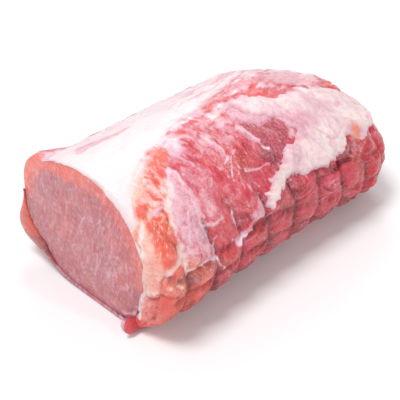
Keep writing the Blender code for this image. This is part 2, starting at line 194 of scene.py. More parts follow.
print("the tip of the roast lies at", (outer_form(TIP, 0.0) / MM).round(1), "mm from the cut")

# %% [markdown]
# ## The net's marks
#
# An elastic net presses rings round the roast and cords along it, about 20 mm apart, and the meat swells
# between them into pillows. A bell would give soft dents, so the groove is a cusp: steep beside the cord
# and nearly flat on the pillow. The rings bow a little, as a net does when it is pulled over a joint.

# %% Grooves of the net
RING_FIRST, RING_PITCH, RING_DEPTH, RING_REACH = 15.5 * MM, 20 * MM, 3.4 * MM, 9.5 * MM
RING_BOW, RING_BOW_AT = 0.0045 * MM, -2
CORD_ANGLES = (-44, -26, -8, 8, 31, 150, 176, 204, 232)
UPPER_CORD_ANGLE, UPPER_CORD_FROM = 31, 94 * MM
CORD_DRIFT, CORD_DRIFT_FROM, CORD_DRIFT_TO = -15, 70 * MM, 140 * MM
CORD_DEPTH, CORD_REACH = 2.7 * MM, 8 * MM
CORDS_END, MARKS_END = 192 * MM, 218 * MM
SKIN_RADIUS = 50 * MM
CUSP_KEEN, CUSP_POWER = 0.5 * MM, 2.6
WAVER, WAVER_SIZE = 1.2 * MM, 22 * MM
LEFT_SHARE, CREST_SHARE = 0.75, 0.1


def cusp(distance, reach):
    """1 at the groove's bottom and 0 from reach on: what is left of the reach, to the power 2.6."""
    near = np.sqrt(distance ** 2 + CUSP_KEEN ** 2)
    return np.clip(1 - near / reach, 0, 1) ** CUSP_POWER


def skin_place(run, angle):
    """Place on the unrolled skin in three numbers, for clouds that follow the skin."""
    return flat_place(*np.broadcast_arrays(run, np.radians(angle) * SKIN_RADIUS))


def net_marks(run, angle):
    """Depth of the grooves: rings and cords joined by the cube root of the sum of their cubes."""
    place = wrapped(angle)
    waver = WAVER * cloud(skin_place(run, angle), WAVER_SIZE, 11, 2)
    bow = MM - RING_BOW * np.clip(place - RING_BOW_AT, -20, 42) ** 2
    from_first = run - RING_FIRST - bow - waver
    number = np.round(from_first / RING_PITCH)
    on_right = fade(50, 22, place)
    on_left = fade(140, 160, place) * fade(268, 240, place)
    strength = CREST_SHARE + (1 - CREST_SHARE) * on_right + LEFT_SHARE * on_left
    ring = RING_DEPTH * strength * cusp(from_first - number * RING_PITCH, RING_REACH) * (number >= 0)
    drift = CORD_DRIFT * fade(CORD_DRIFT_FROM, CORD_DRIFT_TO, run)
    cords = 0 * ring
    for middle in CORD_ANGLES:
        apart = np.radians(place - middle - drift) * SKIN_RADIUS + waver
        depth = CORD_DEPTH * cusp(apart, CORD_REACH) * (on_right + LEFT_SHARE * on_left)
        if middle == UPPER_CORD_ANGLE:
            depth = CORD_DEPTH * cusp(apart, CORD_REACH) * fade(-5 * MM, 5 * MM, run - UPPER_CORD_FROM)
        cords = cords + depth ** 3
    cords = cords * fade(CORDS_END, CORDS_END - 30 * MM, run) ** 3
    height = outer_form(run, angle)[..., 2]
    ends = fade(3 * MM, 9 * MM, run) * fade(MARKS_END, MARKS_END - 12 * MM, run)
    return np.cbrt(ring ** 3 + cords) * fade(0.5 * MM, 6 * MM, height) * ends


print("the deepest net groove is", (net_marks(np.linspace(0, 0.2, 900), 8.0).max() / MM).round(2), "mm")

# %% [markdown]
# ## Where one layer gives way to the next
#
# These short formulas are those of the solids too: the depth of the lean eye under the skin, the edge
# at which the side muscle lies on the fat cap, and the rounding of each layer where it meets the cut.
# Only the gap between the layers is smaller here, because on the roast they are grown together.

# %% Borders and depths of the layers
CAP_LEFT, FLAP_TOP = 126, 166
CAP_EDGE = (
    (0, 48), (3, 56), (7, 64), (15, 72), (31, 81), (50, 88), (70, 92), (100, 97), (125, 104), (150, 112),
)
END_JOINT = 148 * MM
EYE_DEPTH = (
    (-56, 8.0), (-50, 11.5), (-38, 16.0), (-20, 18.0),
    (5, 17.0), (20, 14.0), (40, 11.4), (52, 8.2), (62, 5.4), (75, 3.9), (90, 2.5), (105, 1.7),
    (126, 0.7), (137, 0.3), (155, 0.3), (166, 0.8), (178, 1.9), (190, 3.0), (203, 5.5), (214, 7.5),
    (226, 4.5), (240, 2.6), (265, 2.2), (285, 2.2), (294, 3.4),
    (304, 8.0),
)
END_LIP, END_MUSCLE_SHARE, END_MUSCLE_RAMP = 2.6 * MM, 0.3, 40 * MM
END_MUSCLE_CORE = np.array([140, 1, 36]) * MM
RIM, CAP_LIP, LIP_RAMP = 1.9 * MM, 1.1 * MM, 20
GAP = 0.35 * MM
CREASE, FLUSH = 0.08 * MM, 0.3 * MM
ROLL_RIGHT, ROLL_ELSEWHERE, ROLL_RUN = 6.5 * MM, 1.2 * MM, 9 * MM
LOBE_OUT, LOBE_ANGLE, LOBE_SPREAD, LOBE_RUN = 5.2 * MM, 141, 20, 24 * MM
LAP_RUN, LAP_DIP = 0.25 * MM, 0.15 * MM
JOINT_DEPTH, JOINT_REACH = 0.9 * MM, 1.6 * MM
FLAP_OUT, FLAP_ANGLE, FLAP_SPREAD, FLAP_RUN = 10.8 * MM, 198, 17, 34 * MM
SCRAP_OUT, SCRAP_HEIGHT, LIP_OUT = 5.8 * MM, 4.0 * MM, 0.1 * MM


def roll_in(run, angle):
    """Depth by which a layer's end curls in at the cut: a quarter circle drawn out along the run."""
    place = wrapped(angle)
    right = fade(78, 34, place) * fade(-62, -40, place)
    most = ROLL_ELSEWHERE + (ROLL_RIGHT - ROLL_ELSEWHERE) * right
    share = np.clip(1 - run / ROLL_RUN, 0, 1)
    return most * (1 - np.sqrt(1 - share ** 2)) * fade(0, 3 * MM, outer_form(run, angle)[..., 2])


def eye_depth(run, angle):
    """Depth of the lean eye under the skin; it leaves room for the end muscle's front edge."""
    lip = END_LIP * fade(END_JOINT - 10 * MM, END_JOINT - 2 * MM, run)
    return np.maximum(profile(EYE_DEPTH, wrapped(angle)) * MM, lip)


def eye_point(run, angle, depth, clear=0.0):
    """Point at a depth, drawn in towards the core of the far end where the end muscle covers it."""
    point = layer_point(run, angle, (depth - clear) * fade(END_JOINT + END_MUSCLE_RAMP, END_JOINT, run))
    share = END_MUSCLE_SHARE * fade(END_JOINT, END_JOINT + END_MUSCLE_RAMP, run)
    share = share * (1 - 4 * clear / END_RADIUS)
    return point + (END_MUSCLE_CORE - point) * share[..., None]

# %% Where the side muscle lies on the fat
def cap_edge(run):
    """Angle at which the side muscle's upper edge lies on the fat cap."""
    return profile(CAP_EDGE, run / MM)


def side_under(run, angle):
    """Depth of the side muscle's underside: a full muscle that thins to a lip at its upper edge."""
    full = eye_depth(run, angle) - RIM * fade(SIDE_LOW, SIDE_LOW + 12, angle) - 2 * GAP
    edge = cap_edge(run)
    thin = fade(edge, edge - LIP_RAMP, angle)
    lip = roll_in(run, angle) + CAP_LIP
    return lip + (np.maximum(full, lip) - lip) * thin


def joint_groove(run, angle):
    """Groove where the side muscle ends at the end muscle, and a slight dip of what laps under it."""
    groove = JOINT_DEPTH * hill(run, END_JOINT, JOINT_REACH) * fade(84, 60, wrapped(angle))
    return groove * fade(-56, -40, wrapped(angle))


def lap_depth(run, angle):
    """Depth at which side muscle and fat cap meet: the muscle's underside, rising flush at its edge."""
    edge = cap_edge(run)
    shallow = roll_in(run, angle) + FLUSH
    low = side_under(run, angle)
    return low + (shallow - low) * fade(edge - 5, edge - 0.5, angle)

# %% Columns of the grids
def column_angle(run, share):
    """Angle of a column: 0-1 side muscle, 1-2 fat cap, 2-3 bare left, 3-4 under layer."""
    run, share = np.broadcast_arrays(run, share)
    low = np.full(run.shape, float(SIDE_LOW))
    stops = [low, cap_edge(run), low * 0 + CAP_LEFT, low * 0 + FLAP_TOP, low + 360]
    angle = low.copy()
    for number in range(4):
        angle += np.clip(share - number, 0, 1) * (stops[number + 1] - stops[number])
    return angle


print("at the cut the eye lies", profile(EYE_DEPTH, 0).round(1), "mm under the skin on the right")

# %% [markdown]
# ## Painting the skin
#
# Meat changes colour from one centimetre to the next: white fat, a thin silvery skin over the lean, warm
# or dark muscle, and fine strands. Four numbers at each point say how much: pale for what covers the
# lean and for painted glints, warm for salmon, deep for blood-red and for painted shade in grooves,
# clefts and low down, and cool for lilac and for painted lilac shade on fat. A fifth, lift, raises or sinks
# the surface.
# They are set by marks, each a soft line or patch on the unrolled skin, with ragged edges.

# %% Lines and distances
# one degree round the roast is about this many millimetres of skin
DEGREE_MM = 0.9
KINDS = ("pale", "warm", "deep", "cool")


def bent_line(corners, closed):
    """Points of a smooth curve through the corners: a cubic between each pair, in four steps."""
    before, after = np.roll(corners, 1, axis=0), np.roll(corners, -1, axis=0)
    later = np.roll(corners, -2, axis=0)
    if not closed:
        before[0], after[-1] = corners[0], corners[-1]
        later[-1] = later[-2] = corners[-1]
    share = (np.arange(4) / 4)[None, :, None]
    start, before, after, later = (part[:, None] for part in (corners, before, after, later))
    bend = 2 * before - 5 * start + 4 * after - later
    twist = -before + 3 * start - 3 * after + later
    line = start + 0.5 * share * (after - before + share * (bend + share * twist))
    line = line.reshape(-1, 2)
    return line if closed else np.concatenate([line[:-4], corners[-1:]])


def distance_to(place, line, closed):
    """Distance of each place from the line's nearest piece, less than zero inside a closed line."""
    start = line if closed else line[:-1]
    end = np.roll(line, -1, axis=0) if closed else line[1:]
    nearest = np.full(len(place), np.inf)
    inside = np.zeros(len(place), bool)
    for first, last in zip(start, end):
        side = last - first
        if not side.any():
            continue
        share = np.clip((place - first) @ side / (side @ side), 0, 1)
        nearest = np.minimum(nearest, np.linalg.norm(place - first - share[:, None] * side, axis=1))
        crosses = (first[1] > place[:, 1]) != (last[1] > place[:, 1])
        slope = side[0] / side[1] if side[1] else 0
        inside ^= crosses & (place[:, 0] < first[0] + slope * (place[:, 1] - first[1]))
    return np.where(inside, -nearest, nearest) if closed else nearest

# %% Painting marks
def paint(fields, place, marks, ragged=1.0):
    """Draw each field towards a mark's strength inside it: lines have a width, patches have none."""
    shift = flat_place(place[:, 0], place[:, 1])
    waver = np.stack([cloud(shift, 4, 21, 3), cloud(shift, 4, 22, 3)], -1)
    worn = 0.9 + 1.1 * ragged * cloud(shift, 5, 23, 2)
    patchy = np.clip(0.86 + 0.3 * cloud(shift, 2.6, 24, 3), 0, 1)
    place = place + ragged * waver
    for strengths, width, soft, lift, corners in marks:
        line = bent_line(np.array(corners, float), closed=not width)
        low, high = line.min(axis=0) - width - soft, line.max(axis=0) + width + soft
        near = ((place > low) & (place < high)).all(axis=1)
        if not near.any():
            continue
        distance = distance_to(place[near], line, closed=not width) - width / 2 * worn[near]
        cover = fade(soft, -soft, distance) * patchy[near]
        for kind, strength in strengths.items():
            fields[kind][near] += (strength - fields[kind][near]) * cover
        fields["lift"][near] += lift * MM * cover


def read_marks(table, second_scale=1.0):
    """Marks from rows of text: fields and strengths | width, softness, lift | corners.

    A row that ends in a comma goes on in the next line. The second number of each corner is scaled.
    """
    marks = []
    for row in table.replace(",\n", ",").strip().splitlines():
        sets, shape, corners = row.split("|")
        words = sets.split()
        strengths = dict(zip(words[::2], map(float, words[1::2])))
        pairs = [map(float, corner.split()) for corner in corners.split(",")]
        corners = [(first, second * second_scale) for first, second in pairs]
        marks.append((strengths, *map(float, shape.split()), corners))
    return marks


def settled(fields, grain):
    """The painted fields kept from 0 to 1, with the grain, kept from -1 to 1, beside them."""
    for kind in KINDS:
        fields[kind] = np.clip(fields[kind], 0, 1)
    fields["grain"] = np.clip(grain, -1, 1)
    return fields


print("marks are painted in the fields", KINDS)

# %% [markdown]
# ## What the skin shows
#
# Each row of a table is one mark. It says which fields it sets and how strongly, then its width (0 for a
# filled patch), the softness of its edge and its lift, all in millimetres, then its corners: millimetres
# from the cut and degrees round the roast. Later rows go over earlier ones. Rows of deep with a sunken
# lift darken grooves, folds and clefts: partly the meat's own blood-red, partly painted shade. First comes
# the warm strap beside the cut with the silvery skin behind it, then strands, bare windows of muscle, and
# the crown.

# %% The strap and its silvery skin
# The two short pale dots 2.5 to 9.5 mm from the cut, low on the strap's pillow, are painted glints.
STRAP_SKIN_MARKS = read_marks("""
    warm 0.8 | 0 2 0.3 | 34 80, 38 77, 35 71, 26 61, 20 51, 14 47, 7 50, 8 59, 16 68, 22 76
    warm 1 | 0 1.5 0.4 | 3 47, 11 45, 13 38, 14 29, 11 22, 5 19, 0 17, -1 27, 0 38
    warm 0.75 | 0 2 0 | 0 40, 3 32, 4 15, 1 5, -2 8, -2 28
    pale 0.54 | 0 1.6 0.3 | 32 66, 34 60, 35 50, 34 40, 33 28, 34 17, 36 5, 29 8, 22 10, 16 8, 16 19,
        17 30, 17 40, 20 49, 26 58
    warm 0.25 | 0 2 0 | 32 68, 36 60, 37 50, 35 28, 37 6, 29 8, 22 12, 17 19, 17 40, 26 60
    pale 0.22 | 0 3 0 | 17 8, 22 10, 29 8, 35 6, 34 13, 26 17, 17 17
    pale 0.78 | 2.4 1.2 0.4 | 31 64, 25 55, 19 49, 16.4 41, 15.6 31, 15 23, 14.6 15, 15.4 8.4
    pale 0.85 | 1 0.7 0.3 | 31.7 41.5, 31.5 31.3, 32.8 20.9, 34.8 12.2, 36 5.6
    pale 0.85 | 1.2 0.7 0.3 | 15.6 9.4, 21.2 9.7, 27.7 8.2, 34.5 6.6
    pale 0.25 | 1.3 1.4 -0.4 | 17.6 22.4, 25.7 21.9, 32 20.1
    pale 0.8 | 1.1 0.9 0.3 | 27.5 39.7, 22.9 32.6, 19.1 24.5, 16.4 18.3, 15.4 8.9
    pale 0.2 | 0.9 0.9 -0.3 | 22.5 36, 24 28, 24.5 20, 23 12
    pale 0.48 | 0 2.5 0.2 | 5.5 57, 10.5 55, 15.4 60.6, 12 66
    pale 0.3 | 1.3 1.4 -0.4 | 20 36, 26 35, 31 36
    deep 0.85 | 1.3 0.9 -0.9 | 14.4 43, 15.1 36, 14.9 30, 14.6 23, 15.9 16
    deep 0.85 | 1.3 0.9 -0.8 | 33 30, 34 22, 35 14, 37 8
    deep 0.8 | 1.6 1 -0.8 | 38 5, 40 0, 40 -5
    deep 0.7 | 1.2 0.9 -0.6 | 48.6 38, 49.5 32, 50 28, 52 23
    pale 0.03 warm 1 | 0 2.2 0.4 | 5 46.6, 12 46, 13 42, 12.6 34.4, 14 29.3, 11.6 23.2, 6.6 20, -1 19.6,
        -1 44
    warm 1 pale 0.16 | 0 2 0.2 | 28 80, 34 83, 38.8 79.5, 37 72.6, 29.2 69.8
    warm 0.3 | 3 1.5 0 | 0 60, 2 57, 1 53, 0 48.4
    pale 0.95 | 2.6 1.5 0 | 0 60, 2 57, 1 53, 0 48.4
    pale 0.05 | 0 1.4 0.6 | 6 57, 10.6 53, 8 49, 5 47.5, 3 50, 3 54.5
    warm 0.2 | 2.4 1.6 0 | 6 49, 11 49.5, 16 50
    pale 0.85 | 2.2 1.4 0.3 | 6 49, 11 49.5, 16 50
    pale 0.6 | 2 1.2 0.3 | 1 17.5, 6 17.6, 12 20.9, 14.5 19
    deep 0.75 | 2 1.4 -0.7 | 0 14.3, 2 14, 5.5 12.5
    pale 0.2 | 0 1.6 0.6 | 0 8.4, 3.8 9.9, 12 8.4, 13.4 1, 7.8 -0.5, 0 3.6
    pale 0.85 | 1.2 0.7 0.3 | 2.5 7, 4 6.4
    pale 0.8 | 1 0.6 0.3 | 8 5, 9.5 4
    deep 0.7 | 1.3 0.9 -0.6 | 0 2, 4 -1, 7 -2
    pale 0.2 warm 0.8 | 0 2.5 0.2 | 16.4 6.4, 25.4 6.4, 34.5 4.6, 37 -2.8, 30 -5.6, 18.6 -1.3
""", DEGREE_MM)

# %% White fat and thin strands
STRAND_MARKS = read_marks("""
    pale 0.95 | 0 1.6 0.4 | 39 79, 41 75, 43 71, 47 74, 50 80, 47 82, 43 81
    pale 0.95 | 1.1 0.6 0.5 | 33 63, 33 57, 32 50
    deep 0.8 | 1.1 0.6 -0.3 | 30.5 53, 29 47
    pale 0.8 | 0.9 0.6 0.3 | 39 73.6, 42.6 65.7, 45 57.8, 46 52.5, 47 47.4
    pale 0.75 | 1.5 0.8 0.2 | 62 70, 63 64, 64 59
    pale 0.95 | 1.8 0.9 0.4 | 60 53, 63 53.5, 65 54
    pale 0.8 | 0.8 0.6 0.2 | 59.5 44, 63 49, 70 56
    pale 0.08 deep 0.4 | 0 3 0 | 63 38, 66 50, 76 56, 80 48, 76 38, 70 34
    pale 0.7 | 1 0.7 0.2 | 69 44, 72 41, 76 40, 85 39
    pale 0.34 cool 0.34 | 0 4 0 | 35 62, 44.8 61, 49 51, 46.4 43.8, 38 48
    pale 0.55 | 2.2 1.2 0.2 | 83 56, 80 50
    pale 0.65 | 1.8 1 0.2 | 88 51, 89 46, 91 46
    pale 0.9 | 1.2 0.8 0.3 | 49 49, 46 47
    pale 0.9 | 1.2 0.7 0.2 | 52.5 26, 51 16
    pale 0.5 cool 0.5 | 6 1.8 1 | 53 8, 57 10, 64 14, 70 18
    pale 0.9 | 1.3 0.8 0.2 | 54 7, 58 7, 62 10
    pale 0.95 | 2.6 1 0.5 | 51 6, 54 6
    pale 0.95 | 1.3 0.7 0.4 | 38.3 18.9, 35.6 13.2, 36 6.4, 38 0.3, 40.6 -6.6
    pale 0.85 | 1.2 0.7 0.3 | 15 7, 18 10, 21 9
    pale 0.6 | 1.1 0.8 0.2 | 34 28, 43 27
    pale 0.65 | 1.1 0.7 0.3 | 1 16, 4 15.5, 8 17, 13 19, 16 20
    pale 0.4 cool 0.4 | 0 4.5 0 | 37 46, 43 42, 44 34, 38 30, 34 36
""", DEGREE_MM)

# %% Dark windows and clefts
# The windows are the muscle's own dark colour; the narrow deep rows with a sunken lift darken clefts, partly
# as painted shade.
WINDOW_MARKS = read_marks("""
    pale 0.18 | 0 4 0 | 84 72, 92 70, 98 66, 108 58, 112 50, 101 40, 92 36, 84 42, 80 50, 80 62
    deep 0.52 | 0 2.6 -0.3 | 84 68, 92 68, 100 65, 105 58, 105 49, 100 42, 94 42, 88 46, 83 54, 82 62
    cool 0.8 | 0 3 0 | 84 68, 92 68, 100 65, 105 58, 105 49, 100 42, 94 42, 88 46, 83 54, 82 62
    pale 0.5 cool 0.5 | 2.6 2.6 0 | 100 71, 107 63, 110 56, 108 48
    pale 0.5 | 0.8 0.8 0.2 | 100 70, 103 62, 105 54
    pale 0.6 | 0.8 0.8 0.2 | 104 68, 107 62, 110 55
    pale 0.34 cool 0.34 | 0.9 1.2 0 | 93 62, 95 56, 97 51
    pale 0.4 | 1.2 1.2 0 | 86 76, 87 71, 88 66
    pale 0.6 cool 0.6 | 0 3 0.2 | 90 89, 91.5 78, 97.5 70, 102 63, 95.7 62, 86.7 68, 82.6 76.7
    pale 0.9 | 1.2 0.6 0.5 | 81.4 67, 83 60.4, 86 54.3
    pale 0.85 | 0.9 0.6 0.3 | 84.4 55.3, 85.7 50.2, 87.7 46.4
    pale 0.8 | 0.7 0.5 0.2 | 62 71.6, 63.2 66.2, 64 60.4
    pale 0.6 | 0.9 0.8 0.2 | 82 68, 82 61, 84 54
    deep 0.45 | 0 2.5 -0.3 | 103 58, 110 54, 109 48, 102 48, 101 54
    deep 0.88 | 0 3 -0.4 | 82 47, 90 45, 95 37, 88 37, 83 41
    deep 0.5 | 0 2.5 0 | 78 59, 78 52, 71 42, 66 41, 68 50
    deep 0.75 | 0 1.8 -0.9 | 54 21, 53 15, 60 15, 63 18, 59 22
    deep 0.8 | 1.3 0.8 -0.8 | 69 11, 64 8, 59 5
    deep 1 | 1.8 1 -1.6 | 113 13, 119 14, 128 15, 134 15.5
""", DEGREE_MM)

# %% Salmon bands on the crown
BAND_MARKS = read_marks("""
    pale 0.12 warm 0.45 | 0 1.8 -0.2 | 78 92, 87 93, 93 92, 99 89, 109 89, 119 83, 129 79, 131 74, 121 72,
        113 74, 107 80, 100 85, 92 87, 83 88, 78 88
    deep 0.35 | 1.4 0.9 -0.3 | 80 84, 84 84
    deep 0.35 | 1.6 0.9 -0.3 | 72 84, 79 81
    deep 0.35 | 1.6 0.9 -0.3 | 80 78, 87 78
    pale 0.1 | 1.8 0.9 -0.3 | 45 85, 51 86
""", DEGREE_MM)
SIDE_MARKS = STRAP_SKIN_MARKS + STRAND_MARKS + WINDOW_MARKS + BAND_MARKS
print("the side muscle has", len(SIDE_MARKS), "marks")

# %% [markdown]
# The far end, the crown and the left side have marks of their own. The fat cap keeps one lean streak near
# the cut, and the loose flap on the left is warm above, with painted shade on the dusky strip below it,
# where the layer turns under.

# %% Marks elsewhere on the skin
# The wide lilac line from 112 to 118 degrees is painted shade on the cap's upper left. The deep rows with a
# sunken lift darken clefts at the far end, partly as painted shade. The deep, pale and lilac rows from 212
# to 300 degrees beside the cut are painted shade where the under layer turns under.
OTHER_MARKS = read_marks("""
    pale 0.3 warm 0.5 | 0 2.2 0 | 97 99, 108 98, 120 95, 138 94, 152 88, 161 84, 144 82, 128 86, 112 91,
        100 94
    pale 0.3 warm 0.6 | 0 1.6 -0.3 | 7 107, 16 107, 26 106, 35 105, 41 106, 39 108, 30 110, 22 113, 14 114
    cool 0.6 | 6 3 0 | 16 118, 40 113, 70 112, 100 112
    deep 0.5 | 0 1.2 0.2 | 148 33, 156 35, 158 31, 153 26, 144 23, 134 21, 140 27
    deep 1 | 2.4 1.2 -2 | 138.6 20, 145.4 22.7, 151 26
    deep 0.8 | 1.8 1 -1 | 112.6 14, 118 7.6, 123.5 1
    deep 1 | 1.8 1 -1.6 | 132 14, 136 17, 143 19
    pale 0.95 | 1.7 0.8 0.4 | 172 45, 169.5 37, 169.3 30
    deep 0.45 | 0 3 0.3 | 158 30, 164 28, 164 18, 158 12, 143 10, 141 16, 155 22
    pale 0.46 | 0 6 0 | 140 86, 146 98, 162 102, 172 92, 166 80, 152 79
    warm 0.6 pale 0.14 | 0 1.8 1.8 | 168 89, 184 96, 189 92, 186 80, 178 68, 175 74, 167 76, 164 80
    pale 0.72 warm 0.72 | 0 2 0.2 | 164 82, 170 92, 178 94, 176 88, 168 79
    pale 0 | 0 5 0 | -9 168, 10 168, 20 180, 22 196, 18 220, 6 232, -9 232
    warm 1 | 0 6 0 | -9 168, 8 170, 15 180, 17 196, 12 208, 4 214, -9 214
    deep 0.36 | 0 5 0 | -9 168, 8 170, 15 180, 17 196, 12 208, 4 214, -9 214
    deep 0.4 | 0 4 0 | -6 216, 6 216, 20 212, 26 228, 4 300, -6 300
    deep 0.6 | 0 1.5 0 | -6 212, 4 212, 4 290, -6 290
    pale 0.3 | 0 2.5 0 | -6 236, 5 236, 5 286, -6 286
    cool 1 | 0 2.5 0 | -6 216, 5 216, 5 288, -6 288
    pale 0.5 | 0.8 0.8 0.1 | -2 205, 4 207, 14 209
    pale 0.7 | 0 2.5 0 | 3 124, 13 123, 14 131, 4 133
    warm 1 pale 0.08 | 0 2.5 0 | -1 132, 6 136, 9 150, 6 164, -1 166
    pale 0.55 cool 0.55 | 3 2.5 0 | 4 125, 16 121, 30 118, 46 116
    warm 0.6 deep 0.28 | 0 2 0 | -9 288, 5 290, 7 299, -2 306, -9 306
    pale 0.66 | 0 1.2 0.2 | -5 285, 4 285, 3 291, 4 296, -5 296.5
    pale 0.75 | 0.9 0.7 0.2 | -1 299, 2 300, 5 303
""", DEGREE_MM)


print("the rest of the skin has", len(OTHER_MARKS), "marks")

# %% [markdown]
# Before the marks, each region has a ground colour: fat on the cap, lean elsewhere, warmer near the cut
# and darker in the net's grooves and low down, which is painted shade, like the lilac towards the cap's
# upper left. Clouds drawn out along the fibres give streaks, so the ground is uneven everywhere, also on
# the sides that no mark reaches.

# %% The ground under the marks
ROUND = -72


def streaks(run, angle, turn, length, width, seed, layers=2):
    """A cloud stretched along one direction of the skin: turned by degrees, then divided by two sizes.

    A second cloud bends it, and it fades where the skin's lines meet: at the far tip and below.
    """
    place = skin_place(run, angle)
    place = place + 1.6 * MM * cloud(place, 5 * MM, seed + 7, 2)[..., None]
    cosine, sine = math.cos(math.radians(turn)), math.sin(math.radians(turn))
    along = place[..., 0] * cosine + place[..., 1] * sine
    across = place[..., 1] * cosine - place[..., 0] * sine
    turned = wrapped(angle)
    ends = fade(TIP - 10 * MM, TIP - 38 * MM, run) * fade(-56, -40, turned) * fade(304, 288, turned)
    return drawn_cloud(along, across, length, width, seed, layers) * ends


def fibre_field(run, angle):
    """Fibres from -1 to 1: round the roast on the side, lengthwise on the crown and low down."""
    round_it = streaks(run, angle, ROUND, 5 * MM, 1.0 * MM, 41)
    lengthwise = streaks(run, angle, 10, 7 * MM, 1.1 * MM, 43)
    turned = wrapped(angle)
    share = fade(66, 84, turned) + fade(26, 8, turned) * fade(45 * MM, 70 * MM, run)
    return round_it + (lengthwise - round_it) * np.clip(share, 0, 1)

# %% Ground colours
def ground(run, angle):
    """The fields before any mark, as flat arrays, from the place on the skin alone."""
    run, angle = np.ravel(run), np.ravel(angle)
    turned, skin = wrapped(angle), outer_form(run, angle)
    patch, speck = cloud(skin, 17 * MM, 51, 3), cloud(skin, 5 * MM, 52, 3)
    groove = np.clip(net_marks(run, angle) / RING_DEPTH, 0, 1.2)
    long_streak = streaks(run, angle, 8, 12 * MM, 2.2 * MM, 53, 3)
    round_streak = streaks(run, angle, ROUND, 5 * MM, 1.6 * MM, 56, 3)
    from_edge = (turned - cap_edge(run)) * DEGREE_MM
    cap = fade(-11, 4, from_edge + 2.5 * long_streak + 2.2 * speck + 2 * round_streak)
    cap = cap * fade(CAP_LEFT + 4, CAP_LEFT - 3, turned + 5 * speck)
    cap = cap * (1 - fade(62 * MM, 92 * MM, run) * (0.28 - 0.4 * long_streak))
    cap = cap * fade(END_JOINT + 16 * MM, END_JOINT - 4 * MM, run + 6 * MM * speck)
    right = fade(100, 60, turned)
    strap = fade(34 * MM, 24 * MM, run) * right
    upper = fade(38, 78, turned) * fade(24 * MM, 40 * MM, run) * fade(104 * MM, 78 * MM, run)
    haze = 0.07 + 0.09 * round_streak + 0.08 * patch + 0.08 * speck
    haze = haze + upper * (0.09 + 0.1 * round_streak + 0.14 * speck + 0.1 * patch)
    haze = haze + strap * (0.03 + 0.1 * fade(30, 48, turned)) * (1 + 2.4 * round_streak + 2 * speck)
    crown = fade(66, 84, turned) * fade(60 * MM, 80 * MM, run) * fade(142, 118, turned + 8 * speck)
    haze = haze + crown * (0.25 + 0.45 * long_streak + 0.2 * speck)
    left = fade(128, 146, turned)
    haze = haze + left * (0.1 + 0.3 * patch + 0.22 * speck + 0.06 * long_streak)
    # Low down on both sides the lean gets less haze and more deep: painted shade of the underside.
    low = fade(25, 5, turned) + fade(215, 240, turned)
    haze = haze * (1 - 0.9 * np.clip(low, 0, 1))
    window = fade(58 * MM, 80 * MM, run) * fade(158 * MM, 120 * MM, run) * fade(72, 50, turned)
    deep = 0.08 + 0.1 * low + (0.14 * patch + 0.14 * speck) * (1 + low)
    # Painted shade: the net's grooves are darker, most at their bottom.
    deep = deep + 0.42 * groove ** 1.5 + 0.8 * groove ** 6
    deep = deep + 0.2 * window * fade(-20, 15, turned)
    # Painted shade: darker low on the right and on the lower left, away from the cut.
    deep = deep + (0.34 * fade(-2, -34, turned) + 0.2 * fade(236, 260, turned)) * fade(0, 25 * MM, run)
    cool = 0.15 + 0.3 * fade(0.1, 0.8, cloud(skin, 23 * MM, 54, 2))
    # The lilac towards the cap's upper left is painted shade; the rest of the lilac is in clouds and on the
    # upper side.
    cool = cool + 0.4 * fade(104, 116, turned) * cap + 0.6 * upper * fade(90, 74, turned)
    warm = 0.75 * strap + 0.2 + 0.35 * patch + 0.2 * speck + 0.25 * crown
    return {"pale": np.maximum(cap, haze), "warm": warm, "deep": deep, "cool": cool, "lift": 0.0 * run}


flat_ground = ground(np.full(500, 0.06), np.linspace(0, 120, 500))
print("6 cm from the cut the bare ground is on average", flat_ground["pale"].mean().round(2), "pale")

# %% [markdown]
# No butcher's knife leaves a clean muscle. Besides the listed marks there are some hundreds of
# short wisps of fat and torn fibres. Chance places them, from a fixed start, so each run gives the same.

# %% Wisps
WISP_LIFT = 0.12


def wisps(count, run_range, angle_range, turn, length, strength, seed, widths=(0.35, 1.0), soft=0.55):
    """Short bent strands in the marks' form: chance gives each its place, turn, length and strength."""
    chance = np.random.default_rng(seed)
    found = []
    for _ in range(count):
        start = np.array([chance.uniform(*run_range), chance.uniform(*angle_range) * DEGREE_MM])
        way = math.radians(turn + chance.normal(0, 16))
        step = chance.uniform(*length) / 2 * np.array([math.cos(way), math.sin(way)])
        side = chance.normal(0, 0.12) * np.array([-step[1], step[0]])
        width = chance.uniform(*widths)
        force = chance.uniform(*strength)
        line = [tuple(start - step), tuple(start + side), tuple(start + step)]
        found.append(({"pale": force}, width, soft, WISP_LIFT, line))
    return found


# count, millimetres from the cut, degrees round, turn, length, strength, start of chance, widths, softness
WISPS = (
    wisps(120, (32, 106), (30, 86), ROUND, (1.5, 6), (0.25, 0.6), 101)
    + wisps(40, (2, 34), (35, 72), ROUND, (2, 7), (0.3, 0.6), 102)
    + wisps(50, (50, 160), (-40, 28), 18, (2, 8), (0.15, 0.4), 103)
    + wisps(60, (60, 165), (74, 126), 6, (5, 16), (0.4, 0.8), 104)
    + wisps(80, (4, 190), (126, 250), 10, (3, 9), (0.25, 0.55), 105)
    + wisps(40, (150, 200), (-50, 300), 40, (3, 8), (0.2, 0.5), 106)
)
# White flecks on the lean: partly specks of fat, partly painted glints of the wet surface.
FLECKS_AND_GLINTS = (
    wisps(90, (0, 14), (22, 50), ROUND, (0.4, 1.6), (0.6, 0.95), 107, (0.1, 0.4), 0.35)
    + wisps(220, (20, 160), (-30, 84), ROUND, (0.4, 1.6), (0.5, 0.9), 108, (0.1, 0.4), 0.4)
)

